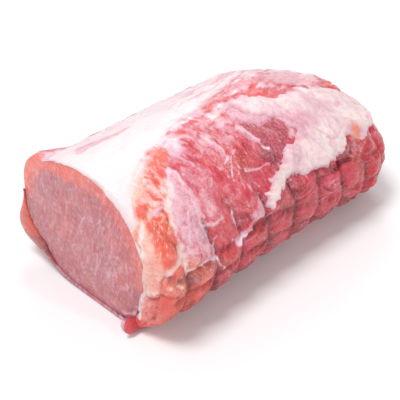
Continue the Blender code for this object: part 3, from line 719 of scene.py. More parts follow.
# %% All fields of the skin, and its relief
def skin_fields(run, angle):
    """Ground, wisps, marks and flecks with painted glints together, with every field but lift kept from 0 to
    1.
    """
    fields = ground(run, angle)
    place = np.stack([np.ravel(run) / MM, wrapped(np.ravel(angle)) * DEGREE_MM], -1)
    paint(fields, place, WISPS)
    paint(fields, place, SIDE_MARKS + OTHER_MARKS)
    paint(fields, place, FLECKS_AND_GLINTS)
    return settled(fields, fibre_field(np.ravel(run), np.ravel(angle)))


def relief(run, angle, fields):
    """How far the surface stands out: lumps of three sizes, fibres on the lean, and the marks' lift."""
    skin = outer_form(np.ravel(run), np.ravel(angle))
    lean = 1 - fields["pale"]
    low = fade(40, 15, wrapped(np.ravel(angle)))
    lumps = 0.5 * cloud(skin, 13 * MM, 61, 2) + 0.3 * (0.3 + 0.7 * lean) * cloud(skin, 3.4 * MM, 62, 3)
    lumps = lumps + 0.6 * low * cloud(skin, 6.5 * MM, 63, 3)
    fibres = 0.18 * fields["grain"] * (0.35 + 0.65 * lean)
    return ((lumps + fibres) * MM + fields["lift"]).reshape(np.shape(run))


probe = skin_fields(np.linspace(0.01, 0.14, 500), np.full(500, 50.0))
darkest, lightest = probe["deep"].max().round(2), probe["deep"].min().round(2)
print("along the side at 50 degrees, deep runs from", lightest, "to", darkest)

# %% [markdown]
# ## From grids to closed shells
#
# A layer is a skin grid, a much coarser grid below it, and walls between the two. The skin carries the
# detail, so the coarse side takes only every few rows: the side walls join many fine points to one
# coarse point. Doubled points, as where a ring closes or at the tip, are given one number by a weld.

# %% Triangles between points
def grid_triangles(number):
    """Two triangles for each cell of a grid of point numbers."""
    a, b, c, d = number[:-1, :-1], number[1:, :-1], number[1:, 1:], number[:-1, 1:]
    return np.concatenate([np.stack([a, b, c], -1).reshape(-1, 3), np.stack([a, c, d], -1).reshape(-1, 3)])


def wall_triangles(high, low, picked):
    """Fans between a fine edge and a coarse one whose points lie under the picked fine points."""
    step = np.arange(len(high) - 1)
    middles = (picked[1:] + picked[:-1]) // 2
    owner = np.searchsorted(middles, step, side="right")
    fans = np.stack([low[owner], high[step + 1], high[step]], -1)
    links = np.stack([low[:-1], low[1:], high[middles]], -1)
    return np.concatenate([fans, links])


def weld(points, near=0.004 * MM):
    """One number for all points that share a place, found by rounding places to a fine lattice."""
    keys = np.round(points / near).astype(np.int64)
    _, first, number = np.unique(keys, axis=0, return_index=True, return_inverse=True)
    return first, number.reshape(-1)

# %% A mesh with its painted fields
def make_mesh(name, points, faces, skin_uv, fields):
    """A welded mesh with its faces outwards, its skin map and its painted fields."""
    first, number = weld(points)
    corners = number[faces]
    whole = (corners != np.roll(corners, 1, axis=1)).all(axis=1)
    corners, faces, spots = corners[whole], faces[whole], points[first]
    a, b, c = spots[corners[:, 0]], spots[corners[:, 1]], spots[corners[:, 2]]
    if np.einsum("ij,ij->", a, np.cross(b, c)) < 0:
        corners, faces = corners[:, ::-1], faces[:, ::-1]
    mesh = bpy.data.meshes.new(name)
    mesh.vertices.add(len(spots))
    mesh.vertices.foreach_set("co", (spots - BASE_MIDDLE).astype(np.float32).ravel())
    mesh.loops.add(3 * len(corners))
    mesh.loops.foreach_set("vertex_index", corners.astype(np.int32).ravel())
    mesh.polygons.add(len(corners))
    mesh.polygons.foreach_set("loop_start", np.arange(0, 3 * len(corners), 3, dtype=np.int32))
    mesh.update(calc_edges=True)
    mesh.uv_layers.new(name="skin").data.foreach_set("uv", skin_uv[faces].astype(np.float32).ravel())
    for kind, values in fields.items():
        attribute = mesh.attributes.new(kind, "FLOAT", "POINT")
        attribute.data.foreach_set("value", values[first].astype(np.float32))
    mesh.shade_smooth()
    mesh.validate()
    return mesh


def place_object(name, data):
    """A new object in the scene, with its mesh, light or camera."""
    made = bpy.data.objects.new(name, data)
    bpy.context.scene.collection.objects.link(made)
    return made


def add_piece(name, mesh, finish, node):
    """Put a layer in the scene: it rides on the one body and stands for its node."""
    piece = place_object(name, mesh)
    mesh.materials.append(finish)
    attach(piece, "root")
    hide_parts(node)
    print(name, "has", len(mesh.polygons), "triangles")
    return piece

# %% The closed shell of a layer
def layer_mesh(name, skin, under_rows, picked, run, angle, fields, ring=False):
    """Closed shell of a skin grid and the coarse rows under it, with walls along every open edge."""
    rows, columns = skin.shape[:2]
    high = np.arange(rows * columns).reshape(rows, columns)
    low = rows * columns + np.arange(len(picked) * columns).reshape(len(picked), columns)
    faces = [grid_triangles(high), grid_triangles(low)[:, ::-1]]
    faces.append(grid_triangles(np.stack([low[0], high[0]])))
    if not ring:
        faces.append(grid_triangles(np.stack([high[-1], low[-1]])))
        faces.append(wall_triangles(high[:, 0], low[:, 0], picked))
        faces.append(wall_triangles(high[:, -1], low[:, -1], picked)[:, ::-1])
    uv = np.stack([run, np.radians(angle) * SKIN_RADIUS], -1)
    points = np.concatenate([skin.reshape(-1, 3), under_rows.reshape(-1, 3)])
    uvs = np.concatenate([uv.reshape(-1, 2), uv[picked].reshape(-1, 2)])
    every = {}
    for kind, values in fields.items():
        grid = values.reshape(rows, columns)
        every[kind] = np.concatenate([grid.ravel(), grid[picked].ravel()])
    return make_mesh(name, points, np.concatenate(faces), uvs, every)


def rows_from(first, last, step):
    """Stations along the roast, crowded within 3 mm of the first one, where layers roll in."""
    crowded = first + 3 * MM * np.linspace(0, 1, 9) ** 2
    count = int(round((last - first - 3 * MM) / step))
    return np.concatenate([crowded[:-1], np.linspace(first + 3 * MM, last, count)])


def picked_rows(count, every):
    """Numbers of the rows that the coarse side uses, the first and the last among them."""
    return np.unique(np.append(np.arange(0, count, every), count - 1))


print("the finest grid has", len(rows_from(0, END_JOINT, 0.56 * MM)), "rows")

# %% [markdown]
# ## Finishes for lean meat and fat
#
# Raw meat is wet and lets light in, so both finishes have some scattering below the surface, a low
# roughness and a thin clear coat. The painted fields choose between lean, silvery skin and fat. Noise
# shifts each border by a fraction of a millimetre, which is what makes it look torn and not airbrushed.

# %% Tools for materials
def srgb(red, green, blue):
    """A colour as a screen shows it, from 0 to 255, turned into linear light."""
    share = np.array([red, green, blue]) / 255
    linear = np.where(share <= 0.04045, share / 12.92, ((share + 0.055) / 1.055) ** 2.4)
    return (*linear.tolist(), 1.0)


class Number:
    """A number inside a material: each step of arithmetic on it adds one Math node."""

    def __init__(self, tree, socket):
        self.tree, self.socket = tree, socket

    def step(self, how, first, second=0.0):
        """One Math node's outcome as another number."""
        made = add(self.tree, "ShaderNodeMath", {0: first, 1: second}, operation=how)
        return Number(self.tree, made.outputs[0])

    def __add__(self, other):
        return self.step("ADD", self, other)

    def __sub__(self, other):
        return self.step("SUBTRACT", self, other)

    def __rsub__(self, other):
        return self.step("SUBTRACT", other, self)

    def __mul__(self, other):
        return self.step("MULTIPLY", self, other)

    def __abs__(self):
        return self.step("ABSOLUTE", self)


def feed(tree, node, inputs):
    """Give a node's inputs values or other nodes' outputs."""
    for name, value in inputs.items():
        value = value.socket if isinstance(value, Number) else value
        if isinstance(value, bpy.types.NodeSocket):
            tree.links.new(value, node.inputs[name])
        else:
            node.inputs[name].default_value = value


def add(tree, kind, inputs, **settings):
    """Add a node, set its properties and feed its inputs."""
    made = tree.nodes.new(kind)
    for name, value in settings.items():
        setattr(made, name, value)
    feed(tree, made, inputs)
    return made


def new_material(name, looks):
    """A material whose one shader has the given looks, and its node tree."""
    made = bpy.data.materials.new(name)
    made.use_nodes = True
    feed(made.node_tree, made.node_tree.nodes["Principled BSDF"], looks)
    return made, made.node_tree

print("a mid grey of 128 is", round(srgb(128, 128, 128)[0], 3), "in linear light")

# %% Colours, numbers and noise in a material
def mix(tree, share, first, second, how="MIX"):
    """Blend two colours; a mixing node has sockets for every kind of data, so they go by number."""
    sockets = {0: share, 6: first, 7: second}
    return add(tree, "ShaderNodeMix", sockets, data_type="RGBA", blend_type=how).outputs[2]


def between(tree, value, low, high, to_low=0.0, to_high=1.0):
    """A number drawn smoothly from one range to another."""
    settings = {"Value": value, "From Min": low, "From Max": high, "To Min": to_low, "To Max": to_high}
    made = add(tree, "ShaderNodeMapRange", settings, interpolation_type="SMOOTHSTEP")
    return Number(tree, made.outputs["Result"])


def specks(tree, place, size, detail=3.0, rough=0.55):
    """Noise whose lumps are about size metres across."""
    settings = {"Vector": place, "Scale": 1 / size, "Detail": detail, "Roughness": rough}
    return Number(tree, add(tree, "ShaderNodeTexNoise", settings).outputs["Fac"])


def field(tree, kind):
    """A painted field of the mesh."""
    return Number(tree, add(tree, "ShaderNodeAttribute", {}, attribute_name=kind).outputs["Fac"])


def strands(tree, place, turn, length, width):
    """Noise drawn out along one direction of the map or of the object."""
    scale = (1 / length, 1 / width, 1 / width)
    turned = add(tree, "ShaderNodeMapping", {"Vector": place, "Rotation": turn}).outputs[0]
    drawn = add(tree, "ShaderNodeMapping", {"Vector": turned, "Scale": scale}).outputs[0]
    noise = add(tree, "ShaderNodeTexNoise", {"Vector": drawn, "Scale": 1.0, "Detail": 4.0})
    return Number(tree, noise.outputs["Fac"])


print("noise, strands and painted fields are ready as tools")

# %% [markdown]
# One recipe serves every lean layer and, with other colours, the fat. It goes from the lean up: two
# tones of muscle, salmon, blood-red with painted shade, fibres and thin white threads, then the silvery
# skin and the fat.

# %% Colours of meat and fat
ROSE, ROSE_LIGHT = srgb(206, 52, 72), srgb(224, 82, 96)
SALMON, CRIMSON = srgb(240, 100, 78), srgb(124, 6, 26)
HAZE, FAT = srgb(241, 197, 208), srgb(251, 234, 234)
PEACH, LILAC = srgb(250, 202, 186), srgb(214, 172, 204)


def muscle_colour(tree, uneven, coarse, tones, uncut):
    """Two tones of lean in clouds, salmon where it is warm and blood-red where it is deep, which also
    carries painted shade.
    """
    rose, rose_light, salmon = tones
    colour = mix(tree, between(tree, coarse, 0.36, 0.64), rose, rose_light)
    if uncut:
        colour = mix(tree, field(tree, "cut"), uncut, colour)
    warm = field(tree, "warm")
    colour = mix(tree, between(tree, warm + uneven * 1.2, 0.1, 1.0), colour, salmon)
    dark = field(tree, "deep") - uneven * between(tree, warm, 0.3, 1.0, 1.5, 0.6)
    return mix(tree, between(tree, dark, 0.05, 1.05, 0.0, 0.95), colour, CRIMSON)

# %% The whole finish
def meat(name, rose=ROSE, rose_light=ROSE_LIGHT, salmon=SALMON, haze=HAZE, fat=FAT, roughness=0.3,
         scatter=0.14, threads=0.3, fibre_turn=0.0, fibre_length=7 * MM, fibre_width=0.6 * MM, fibres=0.2,
         uncut=None):
    """The layers of colour from the lean up to the fat, then gloss, fine relief and scattering.

    The border of what is pale is shifted by noise, most where it is half covered: that makes it torn.
    """
    made, tree = new_material(name, {})
    where = add(tree, "ShaderNodeTexCoord", {}).outputs["Object"]
    flat = add(tree, "ShaderNodeUVMap", {}, uv_map="skin").outputs["UV"]
    pale, warm, cool, grain = (field(tree, kind) for kind in ("pale", "warm", "cool", "grain"))
    fine, tiny = specks(tree, where, 1.0 * MM), specks(tree, where, 0.55 * MM, 2.0)
    thread = strands(tree, flat, (0, 0, fibre_turn), fibre_length, fibre_width)
    uneven = fine * 0.6 + tiny * 0.4 + grain * 0.1 - 0.5
    coarse = specks(tree, where, 6 * MM, 4.0)
    colour = muscle_colour(tree, uneven, coarse, (rose, rose_light, salmon), uncut)
    lines = between(tree, thread, 0.5, 0.68, 0.0, fibres) + between(tree, grain, 0.3, 0.9, 0.0, 0.08)
    colour = mix(tree, lines, colour, haze)
    web = abs(specks(tree, where, 5 * MM, 5.0, 0.6) - 0.5)
    spread = between(tree, specks(tree, where, 13 * MM, 2.0), 0.48, 0.66, 0.0, threads)
    colour = mix(tree, between(tree, web, 0.012, 0.0) * spread, colour, haze)
    veil = mix(tree, between(tree, warm, 0.6, 1.0), haze, PEACH)
    torn = pale + pale * (1.0 - pale) * (uneven * 3.6)
    colour = mix(tree, between(tree, torn, 0.0, 0.62, 0.0, 0.94), colour, veil)
    colour = mix(tree, between(tree, torn, 0.5, 0.98), colour, fat)
    # Lilac tint, which on the fat also stands for painted shade.
    colour = mix(tree, cool * 0.4, colour, LILAC, "MULTIPLY")
    wet = between(tree, specks(tree, where, 7 * MM, 3.0), 0.35, 0.65, -0.08, 0.1)
    gloss = between(tree, torn, 0.2, 0.9, 0.0, 0.1) + (wet + roughness)
    bump = {"Strength": 1.0, "Distance": 0.5 * MM, "Height": thread * 0.5 + fine * 0.7}
    beads = {"Strength": 1.0, "Distance": 0.6 * MM, "Height": specks(tree, where, 1.8 * MM)}
    feed(tree, tree.nodes["Principled BSDF"], {
        "Base Color": colour,
        "Roughness": gloss,
        "Normal": add(tree, "ShaderNodeBump", bump).outputs[0],
        "Coat Normal": add(tree, "ShaderNodeBump", beads).outputs[0],
        "Subsurface Weight": scatter,
        "Subsurface Radius": (1.0, 0.35, 0.25),
        "Subsurface Scale": 2.5 * MM,
        "Coat Weight": 0.6,
        "Coat Roughness": 0.07,
        "Specular IOR Level": 0.2,
    })
    return made


print("meat goes from", HAZE[:3], "in its skin to", CRIMSON[:3], "where it is deep")

# %% [markdown]
# ## The lean eye
#
# The eye is the large muscle that the cut goes through. Its face shows the ends of the fibres as fine
# pale lines that lean a little, paler where fat runs between the bundles. The face is made of rings
# shrinking from its rim to the middle, and the same grid goes on over the side of the muscle.

# %% What the cut face shows
EYE_COLUMNS = np.concatenate([
    np.linspace(SIDE_LOW, CAP_LEFT, 200, endpoint=False),
    np.linspace(CAP_LEFT, FLAP_TOP, 62, endpoint=False),
    np.linspace(FLAP_TOP, SIDE_LOW + 360, 101),
])
FACE_RINGS = 62
EYE_STEP = 1.05 * MM
FACE_BULGE = 1.2 * MM
FACE_REACH = 42
BUNDLE_COSINE, BUNDLE_SINE, BUNDLE_SIZE = 0.94, 0.34, (1.1, 7)
# On the cut's own plane, so the corners are across and up it, in millimetres.
FACE_MARKS = read_marks("""
    warm 0.8 | 0 7 0 | 14 84, 26 80, 42 66, 40 60, 30 70, 8 76, -8 77, -10 83
    deep 0.3 | 2.5 2.5 0 | 32 66, 27 69, 24 64, 29 60
    deep 0.24 | 0 7 0 | 38 66, 46 58, 44 50, 34 54, 28 62
    warm 0.6 | 9 7 0 | -12 80, -24 74, -32 65, -38 54, -42 41
    warm 0.4 | 0 8 0 | -18 64, -30 56, -37 44, -34 30, -26 30, -20 42
    warm 1 | 9 5 0 | 30 78, 42 69, 50 56
    deep 0.34 | 5 5 0 | 16 5, 0 3, -20 4, -34 8
    cool 0.9 | 6 4 0 | 30 12, 10 3, -15 3, -34 6
    cool 0.6 | 0 5 0 | 40 58, 49 47, 46 34, 36 36, 33 48
    pale 0.75 | 0.5 0.5 0.1 | -8.8 37, -5.6 24.4, -1.1 8.5
    pale 0.55 | 0.5 0.5 0.1 | -1.9 57, 1.1 52.4, 4.1 47.5
    pale 0.5 | 0.4 0.5 0.1 | -22.9 67.4, -19.2 59.8
    pale 0.4 | 0.4 0.5 0.1 | -3.1 70.6, -1.8 66.9
    pale 0.8 | 2 1.4 0.2 | -24 6.5, -30 9.5, -36 14
    pale 0.35 | 0.5 0.6 0.1 | 12 52, 17 42
    pale 0.35 | 0.5 0.6 0.1 | 21 50, 25.5 38
    pale 0.35 | 0.5 0.6 0.1 | -15 43, -9.7 32
    pale 0.35 | 0.5 0.6 0.1 | -27 43, -24 32
    pale 0.4 | 0.5 0.6 0.1 | -18.6 24, -16 10.5
    pale 0.45 | 0.5 0.5 0.1 | -3 39.4, -0.7 33.4
""")
FACE_WISPS = wisps(170, (-42, 46), (6, 86), 105, (1.5, 5), (0.2, 0.5), 109)
print("the cut face has", len(FACE_MARKS), "marks and", len(FACE_WISPS), "short strands")

# %% Colours of the cut face
def eye_skin(run, angle):
    """Depth of the eye's own surface: it rolls in at the cut where nothing covers it."""
    place = wrapped(angle)
    bare = fade(CAP_LEFT + 2, CAP_LEFT + 10, place) * fade(FLAP_TOP, FLAP_TOP - 5, place)
    bare = bare * (run < END_JOINT)
    lobe = LOBE_OUT * hill(place, LOBE_ANGLE, LOBE_SPREAD) * fade(LOBE_RUN, 3 * MM, run)
    return eye_depth(run, angle) + bare * (roll_in(run, angle) + 0.6 * net_marks(run, angle) - lobe), bare


def face_fields(face, shares, angle):
    """Fields of the cut face from its place across and up, and from its distance to the rim."""
    place = (face - BASE_MIDDLE).reshape(-1, 3)[:, 1:] / MM
    to_rim = ((1 - shares[:, None]) * FACE_REACH + 0 * angle[None]).ravel()
    turned = np.broadcast_to(angle, face.shape[:2]).ravel()
    flat = flat_place(place[:, 0], place[:, 1])
    upper = fade(-35, 0, turned) * fade(185, 150, turned)
    across = flat[:, 0] * BUNDLE_COSINE + flat[:, 1] * BUNDLE_SINE
    up = flat[:, 1] * BUNDLE_COSINE - flat[:, 0] * BUNDLE_SINE
    bundles = drawn_cloud(across, up, *BUNDLE_SIZE, 71)
    fields = {
        "pale": 0.07 + 0.1 * cloud(flat, 9, 72, 3) + 0.09 * fade(0.4, 0.9, bundles),
        "warm": 0.12 + 0.75 * fade(13, 1, to_rim) * upper + 0.3 * cloud(flat, 11, 73, 3),
        # Deep rises towards the rim below the warm upper edge, so the face is darker along its lower rim.
        "deep": 0.04 + 0.38 * fade(11, 0, to_rim) * (1 - upper),
        "cool": 0.35 + 0.2 * cloud(flat, 25, 74, 2) - 0.3 * upper * fade(20, 2, to_rim),
        "lift": 0.0 * to_rim,
    }
    paint(fields, place, FACE_WISPS, ragged=0.35)
    paint(fields, place, FACE_MARKS, ragged=0.35)
    return settled(fields, bundles)

# %% The lean eye
def make_eye():
    """The eye: rings of the face from the middle out, then the skin from the rim to the hidden tip."""
    hidden = np.linspace(END_JOINT + 6 * MM, TIP, 16)
    rows = np.concatenate([rows_from(0, END_JOINT + 2 * MM, EYE_STEP), hidden])
    run, angle = np.meshgrid(rows, EYE_COLUMNS, indexing="ij")
    depth, bare = eye_skin(run, angle)
    fields = skin_fields(run, angle)
    out = relief(run, angle, fields) * bare * fade(0, 3 * MM, run)
    skin = eye_point(run, angle, depth - out)
    rim, middle = skin[0], skin[0][:-1].mean(axis=0)
    shares = np.linspace(0, 1, FACE_RINGS, endpoint=False)
    face = middle + (rim - middle) * shares[:, None, None]
    cut = face_fields(face, shares, EYE_COLUMNS)
    cut["cut"], fields["cut"] = np.ones(cut["pale"].shape), fade(1.5 * MM, 0, run).ravel()
    flat = face * np.array([0, 1, 1])
    lumps = (0.5 * cloud(flat, 15 * MM, 75, 2) + 0.12 * cloud(flat, 3 * MM, 76, 2)) * MM
    lumps = lumps + (0.07 * MM * cut["grain"] + cut["lift"]).reshape(lumps.shape)
    edge = (1 - shares ** 2)[:, None]
    face[..., 0] -= FACE_BULGE * edge + lumps * np.minimum(1, 6 * edge)
    points = np.concatenate([face, skin])
    number = np.arange(points.shape[0] * points.shape[1]).reshape(points.shape[:2])
    every = {kind: np.concatenate([cut[kind], fields[kind]]) for kind in fields}
    uv = np.concatenate([face[..., 1:], np.stack([run, np.radians(angle) * SKIN_RADIUS], -1)])
    points, uv = points.reshape(-1, 3), uv.reshape(-1, 2)
    return make_mesh("loin_eye_flesh", points, grid_triangles(number), uv, every)


cut_meat = meat("cut_loin_meat", rose=srgb(188, 92, 98), rose_light=srgb(200, 108, 112),
                salmon=srgb(251, 106, 82), scatter=0.2, threads=0.1, fibre_turn=math.radians(20),
                fibre_length=0.6 * MM, fibre_width=3.5 * MM, fibres=0.52, uncut=srgb(206, 66, 80))
add_piece("loin_eye_flesh", make_eye(), cut_meat, "loin_eye")

# %% [markdown]
# ## The fat cap
#
# Back fat is dense and smooth, almost white, with a few stains where the lean shows through. The cap is
# thick over the crown and runs down between the eye and the side muscle as a thin white rim, which is
# all that the cut shows of it there. Its front end is rounded by rows that pass over the layer's edge.

# %% The front edge of a layer
FEATHER = 0.12 * MM
FRONT_ROWS = 12
LAP_RISE = 0.15 * MM
CUT_REACH = 4 * MM


def front_rows(skin_row, under_row, bulge, lap):
    """Rows over a layer's front, from its underside to its skin: a parabola that bulges forward.

    They start lap metres further in, over the layer inside, and there the first row dips below it.
    """
    shares = np.linspace(0, 1, FRONT_ROWS + 1)[:-1, None]
    way = skin_row - under_row
    way = way / np.linalg.norm(way, axis=-1, keepdims=True)
    start = under_row - way * lap[:, None]
    rows = start + (skin_row - start) * shares[..., None]
    rise = np.clip(lap, 0, LAP_RISE)
    rows[..., 0] -= bulge * 4 * shares * (1 - shares) + rise * fade(0.0, 0.12, shares) * (1 - shares)
    rows[0, :, 0] += rise
    return rows


def with_front(grid, count, shift=0.0):
    """A grid with count more rows before its first, like it but shifted, most at the very front."""
    shares = np.linspace(0, 1, count + 1)[:-1, None]
    return np.concatenate([grid[:1] + shift * (1 - shares) ** 2, grid])


def layer_grid(step, columns):
    """Run, column share and angle of a layer's grid, from the cut to just past the end joint."""
    run, share = np.meshgrid(rows_from(0, END_JOINT + LAP_RUN, step), columns, indexing="ij")
    return run, share, column_angle(run, share)


def on_the_eye(run, angle, depth, thinned):
    """A layer's skin and its underside on the eye; where it is thinned, only a feather is left."""
    eye = eye_depth(run, angle)
    depth = depth + (np.maximum(eye - FEATHER, depth) - depth) * thinned
    return layer_point(run, angle, depth), eye_point(run, angle, eye, CREASE)

# %% Painting and closing a front
def paint_cut(points, fields, run, marks):
    """Paint the rows near the cut with marks in its plane, and move them forward by the marks' lift."""
    near = (run < CUT_REACH).ravel()
    place = (points.reshape(-1, 3)[near] - BASE_MIDDLE)[:, 1:] / MM
    cut = {kind: values[near] for kind, values in fields.items()}
    cut["lift"] = 0 * cut["lift"]
    paint(cut, place, marks, ragged=0.8)
    waver = 0.5 * MM * cloud(points.reshape(-1, 3)[near], 4 * MM, 85, 2)
    share = fade(CUT_REACH, 1.5 * MM, run.ravel()[near] + waver)
    for kind in KINDS:
        fields[kind][near] += (cut[kind] - fields[kind][near]) * share
    points.reshape(-1, 3)[near, 0] -= cut["lift"] * share


def fronted_mesh(name, front, skin, below, coarse_step, run, angle, fields, shifts, cut_marks=()):
    """A layer's shell with rows over its front edge, where shifts says how its fields change there."""
    count, picked = len(front), picked_rows(len(run), coarse_step)
    fields = {
        kind: with_front(values.reshape(run.shape), count, shifts.get(kind, 0.0)).ravel()
        for kind, values in fields.items()
    }
    points, run, angle = np.concatenate([front, skin]), with_front(run, count), with_front(angle, count)
    if cut_marks:
        paint_cut(points, fields, run, cut_marks)
    front_picked = np.concatenate([[0], picked[1:] + count])
    return layer_mesh(name, points, below[picked], front_picked, run, angle, fields)


print("a layer's front edge has", FRONT_ROWS, "rows")

# %% [markdown]
# The cap is bare from the side muscle over the crown to the left side. Under the side muscle it sinks to
# where the two layers meet, and there only its front edge can be seen. The lean colours of this finish
# are pinks, so the places where the fat is thin look stained and not bloody.

# %% The fat cap
CAP_STEP = 0.95 * MM


def cap_skin(run, angle, share):
    """Depth of the cap's top: bare on the crown, and just under the side muscle lower down."""
    beside = roll_in(run, angle) + 0.5 * net_marks(run, angle)
    sunk = lap_depth(run, angle) + CREASE
    return beside + (sunk - beside) * fade(1.05, 1.0, share)


def make_cap():
    """The cap: columns from under the side muscle up over the crown, closed below by the eye's skin."""
    columns = np.concatenate([
        np.linspace(1 / 12, 0.95, 34), np.linspace(0.955, 1, 10), np.linspace(1.01, 2, 100),
    ])
    run, share, angle = layer_grid(CAP_STEP, columns)
    fields = skin_fields(run, angle)
    bare = fade(1.0, 1.06, share)
    hidden = (share < 1).ravel()
    fields["pale"][hidden] = 0.8 + 0.3 * cloud(outer_form(run, angle).reshape(-1, 3)[hidden], 5 * MM, 84, 2)
    fields["deep"] *= 0.25
    out = relief(run, angle, fields) * bare * fade(0, 2 * MM, run)
    depth = cap_skin(run, angle, share) - out + LAP_DIP * (run > END_JOINT)
    skin, below = on_the_eye(run, angle, depth, fade(1.93, 2, share))
    uneven = cloud(skin[0], 7 * MM, 80, 3)
    lap = (0.4 + 0.5 * uneven + bare[0] * (0.4 + 1.0 * uneven)) * fade(1.96, 1.7, columns)
    front = front_rows(skin[0], below[0], (0.3 + 0.3 * uneven) * MM, lap * MM)
    return fronted_mesh("fat_cap_sheet", front, skin, below, 8, run, angle, fields, {"pale": -0.3})


white_fat = meat("white_back_fat", rose=srgb(232, 130, 128), rose_light=srgb(238, 156, 152),
                 fat=srgb(250, 231, 232), roughness=0.34, scatter=0.3, threads=0.0, fibres=0.15)
add_piece("fat_cap_sheet", make_cap(), white_fat, "fat_cap")

# %% [markdown]
# ## The side muscle
#
# This is the most uneven piece: a strap, a silvery skin, dark windows of muscle, white strands and the
# net's pillows. Its grid is the finest, about half a millimetre. Along its upper edge it thins to a
# feather that lies on the fat, so fat and lean seem to grow into each other.

# %% The strap's marks at the cut
SIDE_STEP = 0.56 * MM
# On the cut's own plane, so the corners are across and up it, in millimetres.
# The rows of deep with a sunken lift are folds and a crease, darkened partly as painted shade.
STRAP_MARKS = read_marks("""
    warm 1 | 0 2 0 | -41 74, -49 69, -52.4 61, -54 53, -53 42, -47 35, -43 37, -44 49, -42 59
    pale 0.6 | 0 3.5 0.3 | -41 74, -49 69, -52.4 61, -54 53, -53 42, -47 35, -43 37, -44 49, -42 59
    pale 0.68 | 1.6 1.8 0.3 | -44 66, -46 56, -45.5 46, -46 40
    pale 1 | 1.8 0.8 0.2 | -39.8 74, -42.6 63, -44 53, -42.6 43, -40 34
    pale 0.26 | 0 3 0.3 | -41 25, -49 32, -49.5 24, -45 15, -39 12
    pale 0.42 | 0 3 0 | -46 57, -53 60, -55.5 52, -54 44, -47 38, -45 46
    pale 1 | 3 1 0.2 | -36 80.5, -38.6 77.5, -41 73.5, -42.6 67.2
    pale 1 | 2 0.8 0.2 | -40.5 30, -39 22, -37.4 13
    pale 0.82 | 0 0.8 0.6 | -42.8 33.4, -47.6 37, -48 35, -43 31
    pale 0.8 | 0 0.8 0.4 | -49 36.5, -52.5 39, -51 34.6
    pale 0.85 | 1 0.6 0.2 | -47 28.5, -44.4 25.6
    deep 0.7 | 1 0.7 -0.7 | -41 27.3, -46.2 30.7, -52 34.6
    pale 0.1 | 1.3 0.8 0 | -52.2 67, -54 58.2, -53.6 46.8, -52.2 38.4, -50 29, -45.7 16.4
    deep 0.5 | 1.1 0.8 -0.9 | -52.2 67, -54 58.2, -53.6 46.8, -52.2 38.4, -50 29, -45.7 16.4
    pale 0.3 | 0.7 0.7 -0.2 | -46 70, -49 63, -50.5 57
    pale 0.3 | 0.7 0.7 -0.2 | -47 54, -49.5 47, -49 40
""")
print("the front of the strap has", len(STRAP_MARKS), "marks")

# %% The side muscle's grid
def make_side():
    """The side muscle: net, joint and relief on top, down to a feather along its upper edge."""
    run, share, angle = layer_grid(SIDE_STEP, np.linspace(0, 1, 250))
    fields = skin_fields(run, angle)
    lower = lap_depth(run, angle)
    out = relief(run, angle, fields) * fade(0, 0.02, share) * fade(0, 1.5 * MM, run)
    depth = roll_in(run, angle) + net_marks(run, angle) + joint_groove(run, angle) - out
    depth = depth + LAP_DIP * (run > END_JOINT)
    depth = depth + (lower - FEATHER - depth) * fade(0.985, 1, share)
    depth = np.minimum(depth, lower - FEATHER)
    skin = layer_point(run, angle, depth)
    below = layer_point(run, angle, lower)
    uneven = cloud(skin[0], 6 * MM, 82, 3)
    lap = 0.6 + 0.6 * uneven + 0.5 * fade(5, 25, angle[0])
    front = front_rows(skin[0], below[0], (1.3 + 0.5 * uneven) * MM, lap * MM)
    arch = np.sin(np.linspace(0, math.pi, FRONT_ROWS + 1))[:-1, None]
    front[..., 0] -= cloud(front, 5 * MM, 81, 3) * 0.6 * MM * arch
    shifts = {"pale": 0.45, "deep": -0.1}
    return fronted_mesh("side_muscle_flesh", front, skin, below, 10, run, angle, fields, shifts, STRAP_MARKS)


side_meat = meat("side_muscle_meat", threads=0.35, fibres=0.12, fibre_turn=math.radians(-ROUND))
add_piece("side_muscle_flesh", make_side(), side_meat, "side_muscle")

# %% [markdown]
# ## The under layer
#
# The roast rests on this layer. Beside the cut it swells into a loose flap on the left, and its front
# edge ends at the lower right in a small two-lobed scrap of trimming.

# %% The flap and the scrap
# share, angle and spread of each lobe
SCRAP_LOBES = ((0.72, 293.5, 4.0), (1.0, 301.0, 4.2))
SHELF_ROWS = 7
UNDER_STEP = 0.95 * MM


def scrap_share(angle):
    """How much of the scrap is there at an angle: the larger of two bells, one for each lobe."""
    return np.max([share * hill(angle, middle, spread) for share, middle, spread in SCRAP_LOBES], axis=0)


def under_skin(run, angle):
    """Depth of the under layer's outside, with the loose flap swelling out beside the cut."""
    swell = hill(wrapped(angle), FLAP_ANGLE, FLAP_SPREAD) * fade(FLAP_RUN, 4 * MM, run)
    return net_marks(run, angle) + roll_in(run, angle) - FLAP_OUT * swell


def under_front(skin_row, below_row, angles):
    """Rows of the front edge: over the top of the scrap, down its front, and back beneath it."""
    scrap = scrap_share(angles)
    low, high = skin_row.copy(), below_row.copy()
    for row in (low, high):
        row[:, 0] -= LIP_OUT + SCRAP_OUT * scrap
    high[:, 2] += SCRAP_HEIGHT * scrap
    shelf = np.linspace(0, 1, SHELF_ROWS + 1)[:-1, None, None]
    over = below_row + (high - below_row) * shelf
    front = front_rows(low, high, (0.7 + 1.6 * scrap) * MM, 0.5 * MM * (1 - np.clip(3 * scrap, 0, 1)))
    beneath = low + (skin_row - low) * shelf
    rows = np.concatenate([over, front, beneath])
    knob = cloud(rows, 3.5 * MM, 83, 2)[..., None] * scrap[None, :, None]
    rows[1:] += (rows[1:] - rows.mean(axis=0)) * 0.2 * knob[1:]
    rows[..., 2] = np.maximum(rows[..., 2], 0)
    return rows

